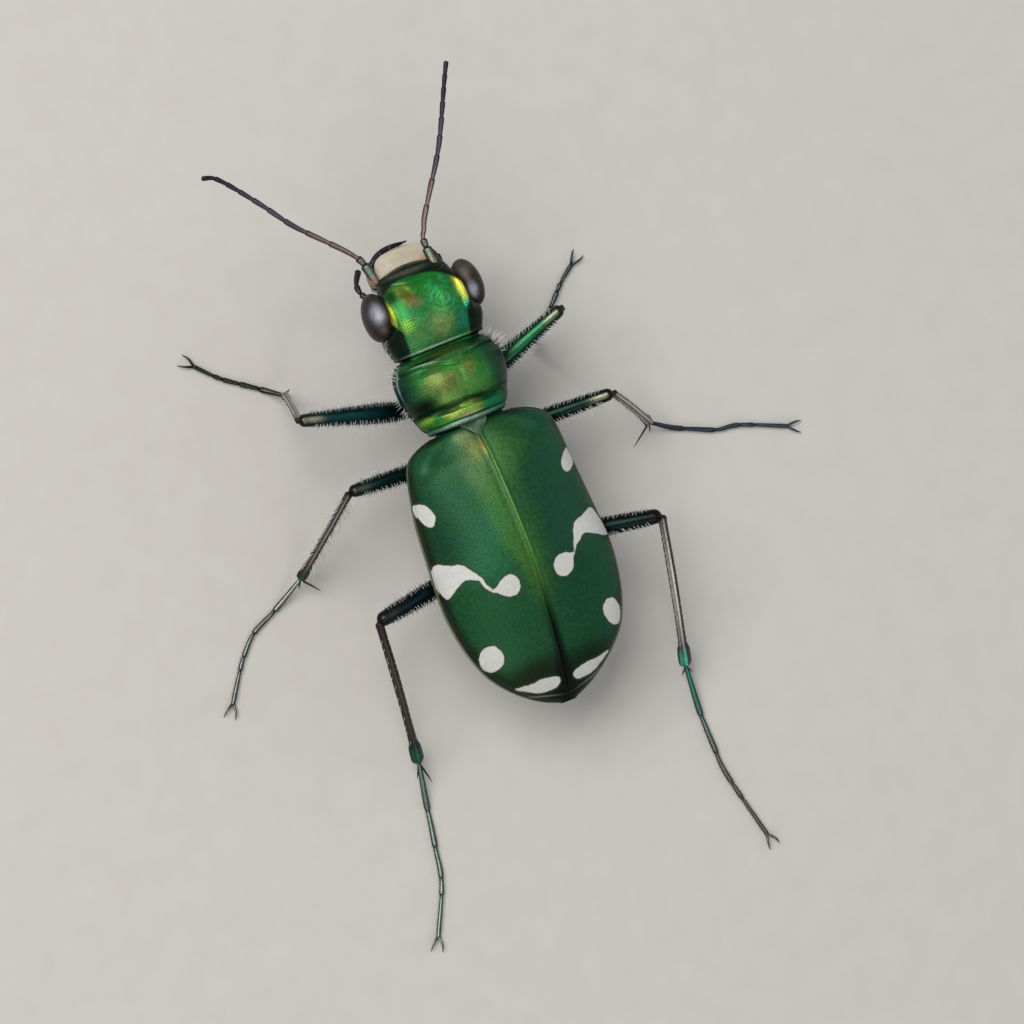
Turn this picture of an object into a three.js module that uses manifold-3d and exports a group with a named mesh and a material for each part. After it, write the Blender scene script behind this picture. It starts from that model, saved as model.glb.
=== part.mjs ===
// A tiger beetle, life size, standing as a still model: head and jaws, prothorax, wing cases, hind body,
// and six long running legs. Lengths are millimetres. +X is the beetle's left, -Y is forward, +Z is up.
// While it is built, Y is measured rearwards from the front edge of the labrum and Z from the floor.
import * as THREE from "three";
import { mergeVertices } from "three/addons/utils/BufferGeometryUtils.js";
import Module from "manifold-3d";

const wasm = await Module();
wasm.setup();

// The driving sizes
const GAP = 0.1; // left between neighbouring pieces
const BODY_LENGTH = 13.5; // labrum to the tip of the wing cases
const SHELL_TOP = 0.5; // wing case thickness along the back
const SHELL_SIDE = 0.42; // wing case thickness at its outer edge
const LIMB = 0.25; // least radius of a leg
const FEELER = 0.22; // radius of the middle of a feeler
const SCAPE = 0.24; // radius of a feeler's first segment
const HIND_BODY_CUT = 9.05; // where the abdomen joins the thorax

// The legs' small sizes
const COXA_ROOT = 0.42; // radius of a hip at the body
const COXA_END = 0.3; // radius of a hip at the thigh
const KNEE_CAP = 0.12; // how far a thigh reaches past the middle of the knee
const KNEE_END = 0.15; // radius of that rounded end
const SPUR_LENGTH = 0.6; // one of the two spurs at the end of a shank, most of it free
const SPUR_ROOT = 0.3; // how far before the end of the shank a spur starts
const SPUR_SPREAD = 0.42; // how far aside its tip stands
const FOOT_RADIUS = 0.24; // of a foot at the end of each of its segments
const FOOT_CENTRE = 0.18; // height of the middle of a foot that lies on the floor
const CLAW_LENGTH = 0.5; // past the end of the foot
const CLAW_SPREAD = 0.24; // how far aside the tip of a claw stands
const CLAW_TIP = 0.08; // height of that tip over the floor

// The colours of the enamel-like cuticle, the ivory parts, the eyes and the jaws
const FINISHES = {
  elytra_green: { color: 0x2a5c3a, roughness: 0.38, metalness: 0.6 },
  forebody_green: { color: 0x2f7d3a, roughness: 0.3, metalness: 0.75 },
  under_green: { color: 0x123f3a, roughness: 0.35, metalness: 0.7 },
  leg_teal: { color: 0x14504c, roughness: 0.32, metalness: 0.7 },
  shank_bronze: { color: 0x3a3322, roughness: 0.4, metalness: 0.5 },
  ivory: { color: 0xcfc6a6, roughness: 0.5, metalness: 0 },
  jaw_dark: { color: 0x1d1622, roughness: 0.3, metalness: 0.2 },
  eye_brown: { color: 0x4a4038, roughness: 0.15, metalness: 0 },
  feeler_brown: { color: 0x4b3a2a, roughness: 0.45, metalness: 0.3 },
};

// The head: place along Y, half width, top, height of the widest part, and bottom
const HEAD = [
  [0.6, 0.92, 3.52, 3.18, 2.76],
  [0.74, 0.97, 3.72, 3.26, 2.66],
  [0.95, 1.02, 3.95, 3.34, 2.56],
  [1.4, 1.08, 4.22, 3.46, 2.5],
  [1.9, 1.2, 4.32, 3.48, 2.48],
  [2.35, 1.48, 4.27, 3.42, 2.5],
  [2.6, 1.43, 4.17, 3.36, 2.54],
  [2.82, 1.35, 4.03, 3.3, 2.6],
  [3.0, 1.28, 3.92, 3.28, 2.66],
];

// An eye: its middle on the left side, and its half sizes
const EYE_PLACE = [1.16, 1.66, 3.5];
const EYE_SIZE = [0.62, 0.78, 0.74];

// The prothorax in the same five numbers, with its front and rear grooves
const PROTHORAX = [
  [3.1, 1.34, 4.02, 3.2, 2.36],
  [3.26, 1.48, 4.2, 3.2, 2.16],
  [3.44, 1.56, 4.22, 3.2, 2.06],
  [3.66, 1.6, 4.38, 3.2, 2.0],
  [4.1, 1.58, 4.43, 3.2, 1.96],
  [4.5, 1.47, 4.33, 3.2, 1.98],
  [4.72, 1.38, 4.12, 3.2, 2.02],
  [4.92, 1.3, 4.16, 3.2, 2.08],
  [5.14, 1.1, 4.0, 3.2, 2.2],
];

// The wing cases together: place, half width, height of the side edge, and height of the seam
const WING_CASES = [
  [5.28, 1.25, 3.3, 3.72],
  [5.4, 1.66, 3.32, 3.78],
  [5.6, 2.02, 3.32, 3.84],
  [5.85, 2.2, 3.32, 3.94],
  [6.2, 2.3, 3.28, 4.08],
  [7.3, 2.45, 2.95, 4.27],
  [8.4, 2.54, 2.88, 4.32],
  [9.5, 2.61, 2.86, 4.26],
  [10.1, 2.6, 2.82, 4.08],
  [10.8, 2.5, 2.78, 3.84],
  [11.4, 2.34, 2.73, 3.62],
  [12.0, 2.07, 2.64, 3.34],
  [12.5, 1.66, 2.46, 3.04],
  [12.9, 1.2, 2.3, 2.76],
  [13.2, 0.74, 2.2, 2.5],
  [13.42, 0.24, 2.16, 2.3],
];

// The belly line: place and height
const BELLY = [
  [5.24, 2.15],
  [6.2, 1.95],
  [7.6, 1.82],
  [9.0, 1.8],
  [11.0, 1.72],
  [12.2, 1.76],
  [13.3, 1.98],
];

// Each leg: where its coxa sits, its knee, the end of its shank, and the joints of its foot out to the claws
const LEGS = {
  front_left: {
    hip: [0.5, 4.4, 2.45],
    trochanter: [0.97, 4.34, 1.95],
    knee: [4.52, 3.46, 3.3],
    shank_end: [3.92, 2.61, 0.45],
    foot: [[4.35, 2.23], [4.87, 1.86], [5.4, 1.47], [5.97, 0.89]],
    thick: 0.33,
  },
  front_right: {
    hip: [-0.5, 4.35, 2.45],
    trochanter: [-0.95, 4.28, 1.95],
    knee: [-3.71, 3.2, 3.3],
    shank_end: [-3.3, 3.72, 0.45],
    foot: [[-3.85, 3.38], [-4.33, 3.0], [-4.83, 2.5], [-5.35, 2.1]],
    thick: 0.33,
  },
  mid_left: {
    hip: [0.7, 6.2, 2.3],
    trochanter: [1.0, 5.96, 1.8],
    knee: [3.84, 5.81, 3.0],
    shank_end: [5.45, 7.54, 0.45],
    foot: [[6.35, 8.07], [7.16, 8.45], [7.68, 8.96], [7.95, 9.31], [8.49, 10.1]],
    thick: 0.27,
  },
  mid_right: {
    hip: [-0.7, 6.2, 2.3],
    trochanter: [-1.15, 5.8, 1.8],
    knee: [-4.25, 5.93, 3.0],
    shank_end: [-5.63, 7.06, 0.45],
    foot: [[-6.33, 7.45], [-6.93, 7.72], [-7.51, 7.96], [-8.18, 8.07], [-9.5, 8.61]],
    thick: 0.27,
  },
  hind_left: {
    hip: [0.7, 8.65, 2.2],
    trochanter: [1.15, 9.0, 1.75],
    knee: [4.49, 9.43, 3.2],
    shank_end: [4.23, 13.51, 0.45],
    foot: [[4.4, 14.8], [4.6, 15.89], [4.82, 16.9], [5.49, 18.27]],
    thick: 0.29,
  },
  hind_right: {
    hip: [-0.7, 8.65, 2.2],
    trochanter: [-1.15, 9.0, 1.75],
    knee: [-4.19, 9.6, 3.2],
    shank_end: [-3.99, 13.8, 0.45],
    foot: [[-3.97, 15.24], [-3.98, 16.22], [-4.03, 17.08], [-4.49, 19.1]],
    thick: 0.29,
  },
};

// Each feeler's line from its socket to its tip, in three lengths
const FEELERS = {
  left: {
    scape: [[0.94, 0.84, 3.0], [1.14, 0.22, 3.22], [1.26, -0.04, 3.34]],
    stem: [[1.26, -0.04, 3.34], [1.59, -0.45, 3.6], [2.19, -0.97, 4.0], [2.93, -1.63, 4.4]],
    whip: [[2.93, -1.63, 4.4], [3.65, -2.47, 4.8], [4.58, -3.47, 5.2], [5.04, -3.69, 5.3]],
  },
  right: {
    scape: [[-0.86, 0.84, 3.1], [-0.64, 0.16, 3.56], [-0.72, -0.14, 3.66]],
    stem: [[-0.72, -0.14, 3.66], [-0.84, -0.5, 3.8], [-1.18, -1.14, 4.15], [-1.53, -1.81, 4.6]],
    whip: [[-1.53, -1.81, 4.6], [-1.82, -2.44, 4.95], [-2.3, -3.61, 5.4], [-2.62, -4.28, 5.5]],
  },
};

// The mouth: jaws that cross under the labrum, and two pairs of palps
const LABRUM = { half_width: 0.86, back: 0.62, front: 0, top_back: 3.48, top_front: 3.06, thick: 0.34 };
// (the right jaw, given as if it were a left one, lies tucked in below the left jaw)
const JAW_LINES = {
  left: [[0.9, 0.95, 2.62], [1.02, 0.45, 2.56], [0.72, 0.04, 2.55], [0.2, -0.14, 2.55], [-0.42, -0.12, 2.55]],
  right: [[0.84, 0.97, 2.62], [0.86, 0.5, 2.32], [0.58, 0.24, 2.09], [0.1, 0.12, 2.09], [-0.46, 0.14, 2.09]],
};
const JAW_TEETH = [0.42, 0.56, 0.7]; // places of the inner teeth along a jaw
const TOOTH_LENGTH = 0.42; // from the middle of the jaw
const OUTER_PALP = [[0.72, 1.15, 2.5], [1.16, 0.95, 2.3], [1.24, 0.55, 2.08], [0.98, 0.14, 1.9]];
const INNER_PALP = [[0.3, 1.15, 2.45], [0.46, 0.95, 2.0], [0.56, 0.6, 1.74], [0.58, 0.2, 1.62]];
const PALP = 0.2; // radius of a palp at its root

// The small shield between the bases of the wing cases
const SCUTELLUM = { half_width: 0.42, front: 5.2, waist: 5.7, tip: 6.05, bottom: 2.92, height: 1 };

// Values between stations, on a smooth curve through them
function between(stations, place) {
  const last = stations.length - 1;
  let low = 0;
  while (low < last - 1 && place > stations[low + 1][0]) low += 1;
  const rows = [low - 1, low, low + 1, low + 2].map((i) => stations[Math.min(last, Math.max(0, i))]);
  const span = rows[2][0] - rows[1][0];
  const s = THREE.MathUtils.clamp((place - rows[1][0]) / span, 0, 1);
  return rows[1].slice(1).map((from, k) => {
    const to = rows[2][k + 1];
    const slope = (a, b) => (b[0] > a[0] ? ((b[k + 1] - a[k + 1]) / (b[0] - a[0])) * span : 0);
    const leave = slope(rows[0], rows[2]);
    const arrive = slope(rows[1], rows[3]);
    return (
      (2 * s ** 3 - 3 * s ** 2 + 1) * from +
      (s ** 3 - 2 * s ** 2 + s) * leave +
      (3 * s ** 2 - 2 * s ** 3) * to +
      (s ** 3 - s ** 2) * arrive
    );
  });
}

// A closed solid swept along a way from 0 to 1: a capped cylinder whose rings take the given section
function sweep(around, steps, placeAt) {
  const geometry = new THREE.CylinderGeometry(1, 1, 1, around, steps);
  const at = geometry.attributes.position;
  for (let i = 0; i < at.count; i += 1) {
    const angle = Math.atan2(at.getX(i), at.getZ(i));
    const out = Math.min(1, Math.hypot(at.getX(i), at.getZ(i)));
    const point = placeAt(at.getY(i) + 0.5, angle, out);
    at.setXYZ(i, point[0], point[1], point[2]);
  }
  return geometry;
}

// A rounded body along Y from stations of half width, top, widest height and bottom
// (square, under 1, flattens the top and fills the shoulders)
function bodyAlong(stations, around, steps, grow = 0, square = 1) {
  const start = stations[0][0] - grow;
  const end = stations[stations.length - 1][0] + grow;
  return sweep(around, steps, (way, angle, out) => {
    const y = THREE.MathUtils.lerp(start, end, way);
    const [half, top, middle, bottom] = between(stations, y);
    const rise = Math.cos(angle) > 0 ? top + grow - middle : middle - bottom + grow;
    const across = Math.sign(Math.sin(angle)) * Math.abs(Math.sin(angle)) ** square;
    const up = Math.sign(Math.cos(angle)) * Math.abs(Math.cos(angle)) ** square;
    return [out * (half + grow) * across, y, middle + out * rise * up];
  });
}

// A round limb along a smooth line, its radius given along the way, with frames that don't twist
function limb(points, radiusAt, sides, steps, grow = 0) {
  const line = new THREE.CatmullRomCurve3(points.map((p) => new THREE.Vector3(...p)));
  const rings = Array.from({ length: steps + 1 }, (_, i) => {
    const forward = line.getTangentAt(i / steps);
    const side = new THREE.Vector3(0, 0, 1).cross(forward).normalize();
    return { centre: line.getPointAt(i / steps), forward, side, rise: side.clone().cross(forward) };
  });
  rings[0].centre.addScaledVector(rings[0].forward, -grow);
  rings[steps].centre.addScaledVector(rings[steps].forward, grow);
  return sweep(sides, steps, (way, angle, out) => {
    const ring = rings[Math.round(way * steps)];
    const radius = out * (radiusAt(way) + grow);
    return ring.centre
      .clone()
      .addScaledVector(ring.side, radius * Math.sin(angle))
      .addScaledVector(ring.rise, radius * Math.cos(angle))
      .toArray();
  });
}

// A geometry as a solid that can be cut and joined, and back again
function solidOf(geometry) {
  const bare = new THREE.BufferGeometry();
  bare.setAttribute("position", geometry.getAttribute("position"));
  bare.setIndex(geometry.index);
  const merged = mergeVertices(bare, 1e-4);
  return new wasm.Manifold(
    new wasm.Mesh({
      numProp: 3,
      vertProperties: merged.attributes.position.array,
      triVerts: new Uint32Array(merged.index.array),
    }),
  );
}

function geometryOf(solid) {
  const mesh = solid.getMesh();
  const geometry = new THREE.BufferGeometry();
  geometry.setAttribute("position", new THREE.BufferAttribute(mesh.vertProperties, 3));
  geometry.setIndex(new THREE.BufferAttribute(mesh.triVerts, 1));
  geometry.computeVertexNormals();
  return geometry;
}

// The biggest piece that a cut leaves, and what several solids make together
function largest(solid) {
  return solid.decompose().reduce((best, piece) => (piece.volume() > best.volume() ? piece : best));
}

function joined(solids) {
  return solids.reduce((whole, piece) => whole.add(piece));
}

// A solid less what its neighbours and their gaps take
function cutClear(solid, neighbours) {
  return largest(neighbours.reduce((left, neighbour) => left.subtract(neighbour), solid));
}

function mirrored(geometry) {
  const turned = geometry.index.array.slice();
  for (let i = 0; i < turned.length; i += 3) {
    [turned[i + 1], turned[i + 2]] = [turned[i + 2], turned[i + 1]];
  }
  return geometry.clone().scale(-1, 1, 1).setIndex(new THREE.BufferAttribute(turned, 1));
}

// A slab across the whole beetle from one place along Y to another, to part a body with
function slab(from, to) {
  const wide = 30;
  return solidOf(new THREE.BoxGeometry(wide, to - from, wide).translate(0, (from + to) / 2, 0));
}

// The hind body under the wing cases, and the space that the wing cases fill over it
const CASE_START = WING_CASES[0][0];
const CASE_END = BODY_LENGTH - 0.06;

function hindBody(grow = 0) {
  return sweep(24, 16, (way, angle, out) => {
    const y = THREE.MathUtils.lerp(CASE_START - 0.04 - grow, CASE_END - 0.32 + grow, way);
    const [half, edge, seam] = between(WING_CASES, y);
    const [belly] = between(BELLY, y);
    const side = Math.max(0.12, half - SHELL_SIDE - GAP);
    const top = Math.max(edge + 0.06, seam - SHELL_TOP - GAP);
    const rise = Math.cos(angle) > 0 ? top + grow - edge : edge - belly + grow;
    return [out * (side + grow) * Math.sin(angle), y, edge + out * rise * Math.cos(angle)];
  });
}

// One wing case as a solid quarter dome: over the back from the seam to the side edge, and a flat floor
const CASE_ARC = 10; // steps from the seam to the side edge
const CASE_FLOOR = 2; // steps along the floor of the quarter dome
const CASE_RINGS = 23; // steps from the shoulder to the tip
const EDGE_TUCK = 0.1; // how far the side edge hangs below the widest line

// Rings stand closer together near both ends, where the outline turns fastest
function closerAtEnds(way) {
  return way - (0.78 * Math.sin(2 * Math.PI * way)) / (2 * Math.PI);
}

function quarterDome() {
  const around = CASE_ARC + CASE_FLOOR + 2;
  return sweep(around, CASE_RINGS, (way, angle, out) => {
    const y = THREE.MathUtils.lerp(CASE_START, CASE_END, closerAtEnds(way));
    const [half, edge, seam] = between(WING_CASES, y);
    const step = Math.round((THREE.MathUtils.euclideanModulo(angle, 2 * Math.PI) / (2 * Math.PI)) * around);
    const inner = GAP / 2;
    const turn = (Math.min(step, CASE_ARC) / CASE_ARC) * (Math.PI / 2);
    let x = inner + (half - inner) * Math.sin(turn);
    let z = edge + (seam - edge) * Math.cos(turn);
    if (step > CASE_ARC && step < around) {
      const back = (step - CASE_ARC - 1) / CASE_FLOOR;
      x = THREE.MathUtils.lerp(half - 0.08, inner, back);
      z = edge - EDGE_TUCK;
    }
    const middle = [inner + (half - inner) * 0.4, edge + (seam - edge) * 0.3];
    return [THREE.MathUtils.lerp(middle[0], x, out), y, THREE.MathUtils.lerp(middle[1], z, out)];
  });
}

// The shield is a wedge with two curved sides, straight up and down
function scutellumWedge(grow = 0) {
  const { front, waist, height } = SCUTELLUM;
  const half = SCUTELLUM.half_width + grow;
  const shape = new THREE.Shape();
  shape.moveTo(-half, front);
  shape.lineTo(half, front);
  shape.quadraticCurveTo(half * 0.6, waist, 0, SCUTELLUM.tip + 2 * grow);
  shape.quadraticCurveTo(-half * 0.6, waist, -half, front);
  const wedge = new THREE.ExtrudeGeometry(shape, { depth: height, bevelEnabled: false, curveSegments: 5 });
  return wedge.translate(0, 0, SCUTELLUM.bottom);
}

function headForm(grow = 0) {
  return bodyAlong(HEAD, 26, 14, grow, 0.84);
}

function prothoraxForm(grow = 0) {
  return bodyAlong(PROTHORAX, 24, 15, grow, 0.95);
}

function eyeForm() {
  return new THREE.SphereGeometry(1, 22, 14)
    .scale(EYE_SIZE[0], EYE_SIZE[1], EYE_SIZE[2])
    .translate(EYE_PLACE[0], EYE_PLACE[1], EYE_PLACE[2]);
}

// The labrum: a shallow sloping plate with a bowed front
function labrumForm(grow = 0) {
  return sweep(16, 5, (way, angle, out) => {
    const y = THREE.MathUtils.lerp(LABRUM.back + grow, LABRUM.front - grow, way);
    const half = LABRUM.half_width * Math.sqrt(1 - 0.55 * way ** 2.2) + grow;
    const top = THREE.MathUtils.lerp(LABRUM.top_back, LABRUM.top_front, way) + grow;
    const across = Math.sign(Math.sin(angle)) * Math.abs(Math.sin(angle)) ** 0.7;
    const middle = top - grow - LABRUM.thick / 2;
    const bow = 0.1 * (across * across) * way;
    const rise = (LABRUM.thick / 2 + grow) * Math.cos(angle);
    const droop = 0.12 * across * across * out;
    return [-out * half * across, y + bow * out, middle - droop + out * rise];
  });
}

// A radius that falls from thick to the tip, most of it near the end
function taper(thick, tip) {
  return (way) => THREE.MathUtils.lerp(thick, tip, way ** 1.6);
}

// A feeler's radius swells a little at each joint between its segments
function jointed(count, radiusAt) {
  return (way) => radiusAt(way) * (1 - 0.14 * Math.sin(Math.PI * count * way) ** 2);
}

// A sickle jaw along its line, and the three teeth along its inner edge
function jawForm(line, grow = 0) {
  return limb(line, taper(0.2, 0.1), 8, 9, grow);
}

function jawTeeth(points) {
  const line = new THREE.CatmullRomCurve3(points.map((p) => new THREE.Vector3(...p)));
  return JAW_TEETH.map((place) => {
    const root = line.getPointAt(place);
    const forward = line.getTangentAt(place);
    const inward = new THREE.Vector3(forward.y, -forward.x, 0);
    const tip = root.clone().addScaledVector(inward, TOOTH_LENGTH).addScaledVector(forward, TOOTH_LENGTH / 4);
    return limb([root.toArray(), tip.toArray()], taper(0.14, 0.05), 6, 2);
  });
}

// The parts of one leg
function coxaForm(leg, grow = 0) {
  const narrowing = (way) => THREE.MathUtils.lerp(COXA_ROOT, COXA_END, way);
  return limb([leg.hip, leg.trochanter], narrowing, 10, 4, grow);
}

function thighForm(leg, grow = 0) {
  const swell = (way) => LIMB + (leg.thick - LIMB) * Math.sin(Math.PI * Math.min(1, 0.25 + way * 0.75));
  const rounded = (way) => (way > 0.98 ? KNEE_END : swell(way));
  const line = [leg.trochanter, leg.knee].map((p) => new THREE.Vector3(...p));
  const past = line[1].clone().addScaledVector(line[1].clone().sub(line[0]).normalize(), KNEE_CAP);
  return limb([leg.trochanter, leg.knee, past.toArray()], rounded, 9, 8, grow);
}

function shankForm(leg, grow = 0) {
  const middle = leg.knee.map((v, i) => (v + leg.shank_end[i]) / 2 + (i === 2 ? 0.1 : 0));
  const widening = (way) => LIMB * (0.84 + 0.16 * Math.min(1, 3 * way));
  return limb([leg.knee, middle, leg.shank_end], widening, 8, 6, grow);
}

function spurForms(leg) {
  const end = new THREE.Vector3(...leg.shank_end);
  const way = end.clone().sub(new THREE.Vector3(...leg.knee)).normalize();
  const side = new THREE.Vector3(0, 0, 1).cross(way).normalize();
  return [-1, 1].map((turn) => {
    const root = end.clone().addScaledVector(way, -SPUR_ROOT).addScaledVector(side, turn * 0.1);
    const tip = end.clone().addScaledVector(way, SPUR_LENGTH - SPUR_ROOT);
    tip.addScaledVector(side, turn * SPUR_SPREAD);
    tip.z = Math.max(tip.z, CLAW_TIP);
    return solidOf(limb([root.toArray(), tip.toArray()], taper(0.14, 0.05), 6, 2));
  });
}

function footForm(leg) {
  const path = [leg.shank_end, ...leg.foot.map((p) => [p[0], p[1], FOOT_CENTRE])];
  const steps = 3 * leg.foot.length;
  const radius = (way) => {
    const along = (way * leg.foot.length) % 1;
    return FOOT_RADIUS * (way > 0.99 ? 0.7 : THREE.MathUtils.lerp(0.82, 1, along));
  };
  const stem = solidOf(limb(path, radius, 8, steps));
  const end = new THREE.Vector3(...path[path.length - 1]);
  const way = end.clone().sub(new THREE.Vector3(...path[path.length - 2])).setZ(0).normalize();
  const side = new THREE.Vector3(0, 0, 1).cross(way);
  const claws = [-1, 1].map((turn) => {
    const point = (forward, out, z) =>
      end.clone().addScaledVector(way, forward).addScaledVector(side, turn * out).setZ(z).toArray();
    const line = [
      point(-0.3 * CLAW_LENGTH, 0.04, 0.2),
      point(0.6 * CLAW_LENGTH, 0.16, 0.22),
      point(CLAW_LENGTH, CLAW_SPREAD, CLAW_TIP),
    ];
    return solidOf(limb(line, taper(0.12, 0.05), 6, 4));
  });
  return joined([stem, ...claws]);
}

// Everything that would reach below the floor is cut off flat on it
function onFloor(solid) {
  const deep = 4;
  return solid.subtract(solidOf(new THREE.BoxGeometry(60, 60, deep).translate(0, 0, -deep / 2)));
}

// The nodes, from the body outwards
const beetle = new THREE.Group();

function addNode(name, solid, finish) {
  const mesh = new THREE.Mesh(geometryOf(solid), new THREE.MeshStandardMaterial(FINISHES[finish]));
  mesh.name = name;
  beetle.add(mesh);
}

const head = solidOf(headForm());
const headClear = solidOf(headForm(GAP));
const prothoraxClear = solidOf(prothoraxForm(GAP));
const hindClear = solidOf(hindBody(GAP));
const labrumClear = solidOf(labrumForm(GAP));

addNode("head", head, "forebody_green");
addNode("labrum", cutClear(solidOf(labrumForm()), [headClear]), "ivory");
addNode("prothorax", cutClear(solidOf(prothoraxForm()), [headClear]), "forebody_green");

const behind = solidOf(hindBody());
addNode("pterothorax", cutClear(behind, [slab(HIND_BODY_CUT, 20), prothoraxClear]), "under_green");
addNode("abdomen", cutClear(behind, [slab(0, HIND_BODY_CUT + GAP)]), "under_green");
addNode("scutellum", cutClear(solidOf(scutellumWedge()), [hindClear, prothoraxClear]), "forebody_green");

const scutellumClear = solidOf(scutellumWedge(GAP));
for (const side of ["left", "right"]) {
  const turned = (geometry) => (side === "left" ? geometry : mirrored(geometry));
  const jawLine = JAW_LINES[side];
  addNode("eye_" + side, cutClear(solidOf(turned(eyeForm())), [headClear]), "eye_brown");
  const wingCase = cutClear(solidOf(turned(quarterDome())), [hindClear, prothoraxClear, scutellumClear]);
  addNode("elytron_" + side, wingCase, "elytra_green");
  const teeth = jawTeeth(jawLine).map((tooth) => solidOf(turned(tooth)));
  const jaw = cutClear(joined([solidOf(turned(jawForm(jawLine))), ...teeth]), [headClear, labrumClear]);
  addNode("mandible_" + side, jaw, "jaw_dark");
  const outer = solidOf(turned(limb(OUTER_PALP, taper(PALP, 0.14), 8, 7)));
  const jawClear = solidOf(turned(jawForm(jawLine, GAP)));
  addNode("maxillary_palp_" + side, cutClear(outer, [headClear, jawClear]), "jaw_dark");
  const inner = solidOf(turned(limb(INNER_PALP, taper(PALP, 0.14), 8, 7)));
  addNode("labial_palp_" + side, cutClear(inner, [headClear, jawClear]), "ivory");
}

// Feelers: three lengths each, cut clear of the head, the eye and each other
for (const [side, lengths] of Object.entries(FEELERS)) {
  const scape = (grow) => solidOf(limb(lengths.scape, () => SCAPE, 8, 4, grow));
  const stem = (grow) => solidOf(limb(lengths.stem, jointed(3, () => FEELER), 8, 9, grow));
  const whip = solidOf(limb(lengths.whip, jointed(7, taper(FEELER, 0.1)), 8, 14));
  const eye = solidOf(side === "left" ? eyeForm() : mirrored(eyeForm()));
  const scapeClear = cutClear(scape(0), [headClear, eye, labrumClear]);
  addNode("antenna_" + side + "_scape", scapeClear, "ivory");
  addNode("antenna_" + side + "_stem", cutClear(stem(0), [scape(GAP)]), "feeler_brown");
  addNode("antenna_" + side + "_whip", cutClear(whip, [stem(GAP)]), "feeler_brown");
}

// Legs: coxa, thigh, shank with its two spurs, and foot with its two claws
for (const [name, leg] of Object.entries(LEGS)) {
  const coxaClear = solidOf(coxaForm(leg, GAP));
  const thighClear = solidOf(thighForm(leg, GAP));
  const shankClear = solidOf(shankForm(leg, GAP));
  const body = [hindClear, prothoraxClear];
  addNode("coxa_" + name, cutClear(solidOf(coxaForm(leg)), body), "under_green");
  addNode("femur_" + name, cutClear(solidOf(thighForm(leg)), [...body, coxaClear]), "leg_teal");
  const shank = joined([solidOf(shankForm(leg)), ...spurForms(leg)]);
  const shankClean = cutClear(shank, [thighClear]);
  addNode("tibia_" + name, onFloor(shankClean), "shank_bronze");
  addNode("tarsus_" + name, onFloor(cutClear(footForm(leg), [shankClear])), "leg_teal");
}

// The finished beetle stands with the middle of its footprint at the origin
const box = new THREE.Box3().setFromObject(beetle, true);
const centre = box.getCenter(new THREE.Vector3());
beetle.position.set(-centre.x, -centre.y, -box.min.z);

const group = new THREE.Group();
group.add(beetle);

export default group;
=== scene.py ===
# %% [markdown]
# # A green tiger beetle, standing still
# A beetle is a suit of hard plates. Each plate is a thin shell of cuticle, and its colour is partly
# pigment and partly structure, so it looks like lacquer over metal foil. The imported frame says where
# each plate, leg and feeler sits; this script gives them their real thickness, surface and hair.
# Everything is drawn in millimetres in the beetle's own directions: X to its left, Y rearwards from the
# front of the labrum, Z up from the floor. One matrix then carries a finished mesh into the frame.

# %% Load the frame
import math
import random

import bmesh
import bpy
import numpy as np
from mathutils import Matrix, Vector


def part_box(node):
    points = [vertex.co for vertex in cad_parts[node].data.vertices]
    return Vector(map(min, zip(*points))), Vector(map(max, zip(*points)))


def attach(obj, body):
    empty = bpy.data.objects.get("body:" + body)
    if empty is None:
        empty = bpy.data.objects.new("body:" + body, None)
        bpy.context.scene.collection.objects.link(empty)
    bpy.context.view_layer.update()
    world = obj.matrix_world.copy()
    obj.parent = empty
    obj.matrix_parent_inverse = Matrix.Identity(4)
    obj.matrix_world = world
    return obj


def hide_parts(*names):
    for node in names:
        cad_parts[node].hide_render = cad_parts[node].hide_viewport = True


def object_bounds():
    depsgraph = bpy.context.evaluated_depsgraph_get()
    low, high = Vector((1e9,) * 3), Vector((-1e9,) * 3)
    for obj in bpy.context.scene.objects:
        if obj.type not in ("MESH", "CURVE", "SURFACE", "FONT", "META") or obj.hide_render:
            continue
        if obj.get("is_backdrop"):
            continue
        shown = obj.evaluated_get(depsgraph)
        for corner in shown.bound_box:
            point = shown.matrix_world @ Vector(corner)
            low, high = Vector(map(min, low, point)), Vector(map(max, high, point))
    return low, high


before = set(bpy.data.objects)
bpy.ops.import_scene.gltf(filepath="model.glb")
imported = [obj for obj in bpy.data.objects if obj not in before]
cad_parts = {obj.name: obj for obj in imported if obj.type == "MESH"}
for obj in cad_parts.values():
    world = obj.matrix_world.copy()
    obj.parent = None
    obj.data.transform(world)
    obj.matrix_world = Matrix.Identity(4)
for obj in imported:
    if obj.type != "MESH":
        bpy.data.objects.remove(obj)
cad_low, cad_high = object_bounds()

scene = bpy.context.scene
head_low, head_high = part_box("head")
midline = (head_low.x + head_high.x) / 2
labrum_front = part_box("labrum")[0].y
MM = 0.001
TO_FRAME = Matrix.Translation((midline, labrum_front, cad_low.z)) @ Matrix.Scale(MM, 4)
print("frame box in mm:", [round(v / MM, 2) for v in (*cad_low, *cad_high)])

# %% [markdown]
# ## Camera
# The photograph looks down on the beetle from 15 degrees to its left, with the head towards the top left
# of the picture. A long lens from far away keeps the near legs as large as the far ones, as a close-up
# taken from a distance does. The picture is 28.4 mm wide where the beetle stands.

# %% Set the camera
CAMERA_TILT = math.radians(15)
ACROSS_SHARE, DOWN_SHARE = 0.370, 0.929  # of the beetle's length, across and down the picture
PICTURE_TURN = math.atan2(ACROSS_SHARE, DOWN_SHARE)
PICTURE_WIDTH = 28.44
PICTURE_CENTRE = Vector((-0.266, 7.975, 3.0))
CAMERA_DISTANCE = 300
SENSOR_WIDTH = 36


def placed(name, data):
    """A new object in the scene that shows the data."""
    thing = bpy.data.objects.new(name, data)
    scene.collection.objects.link(thing)
    return thing


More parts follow.
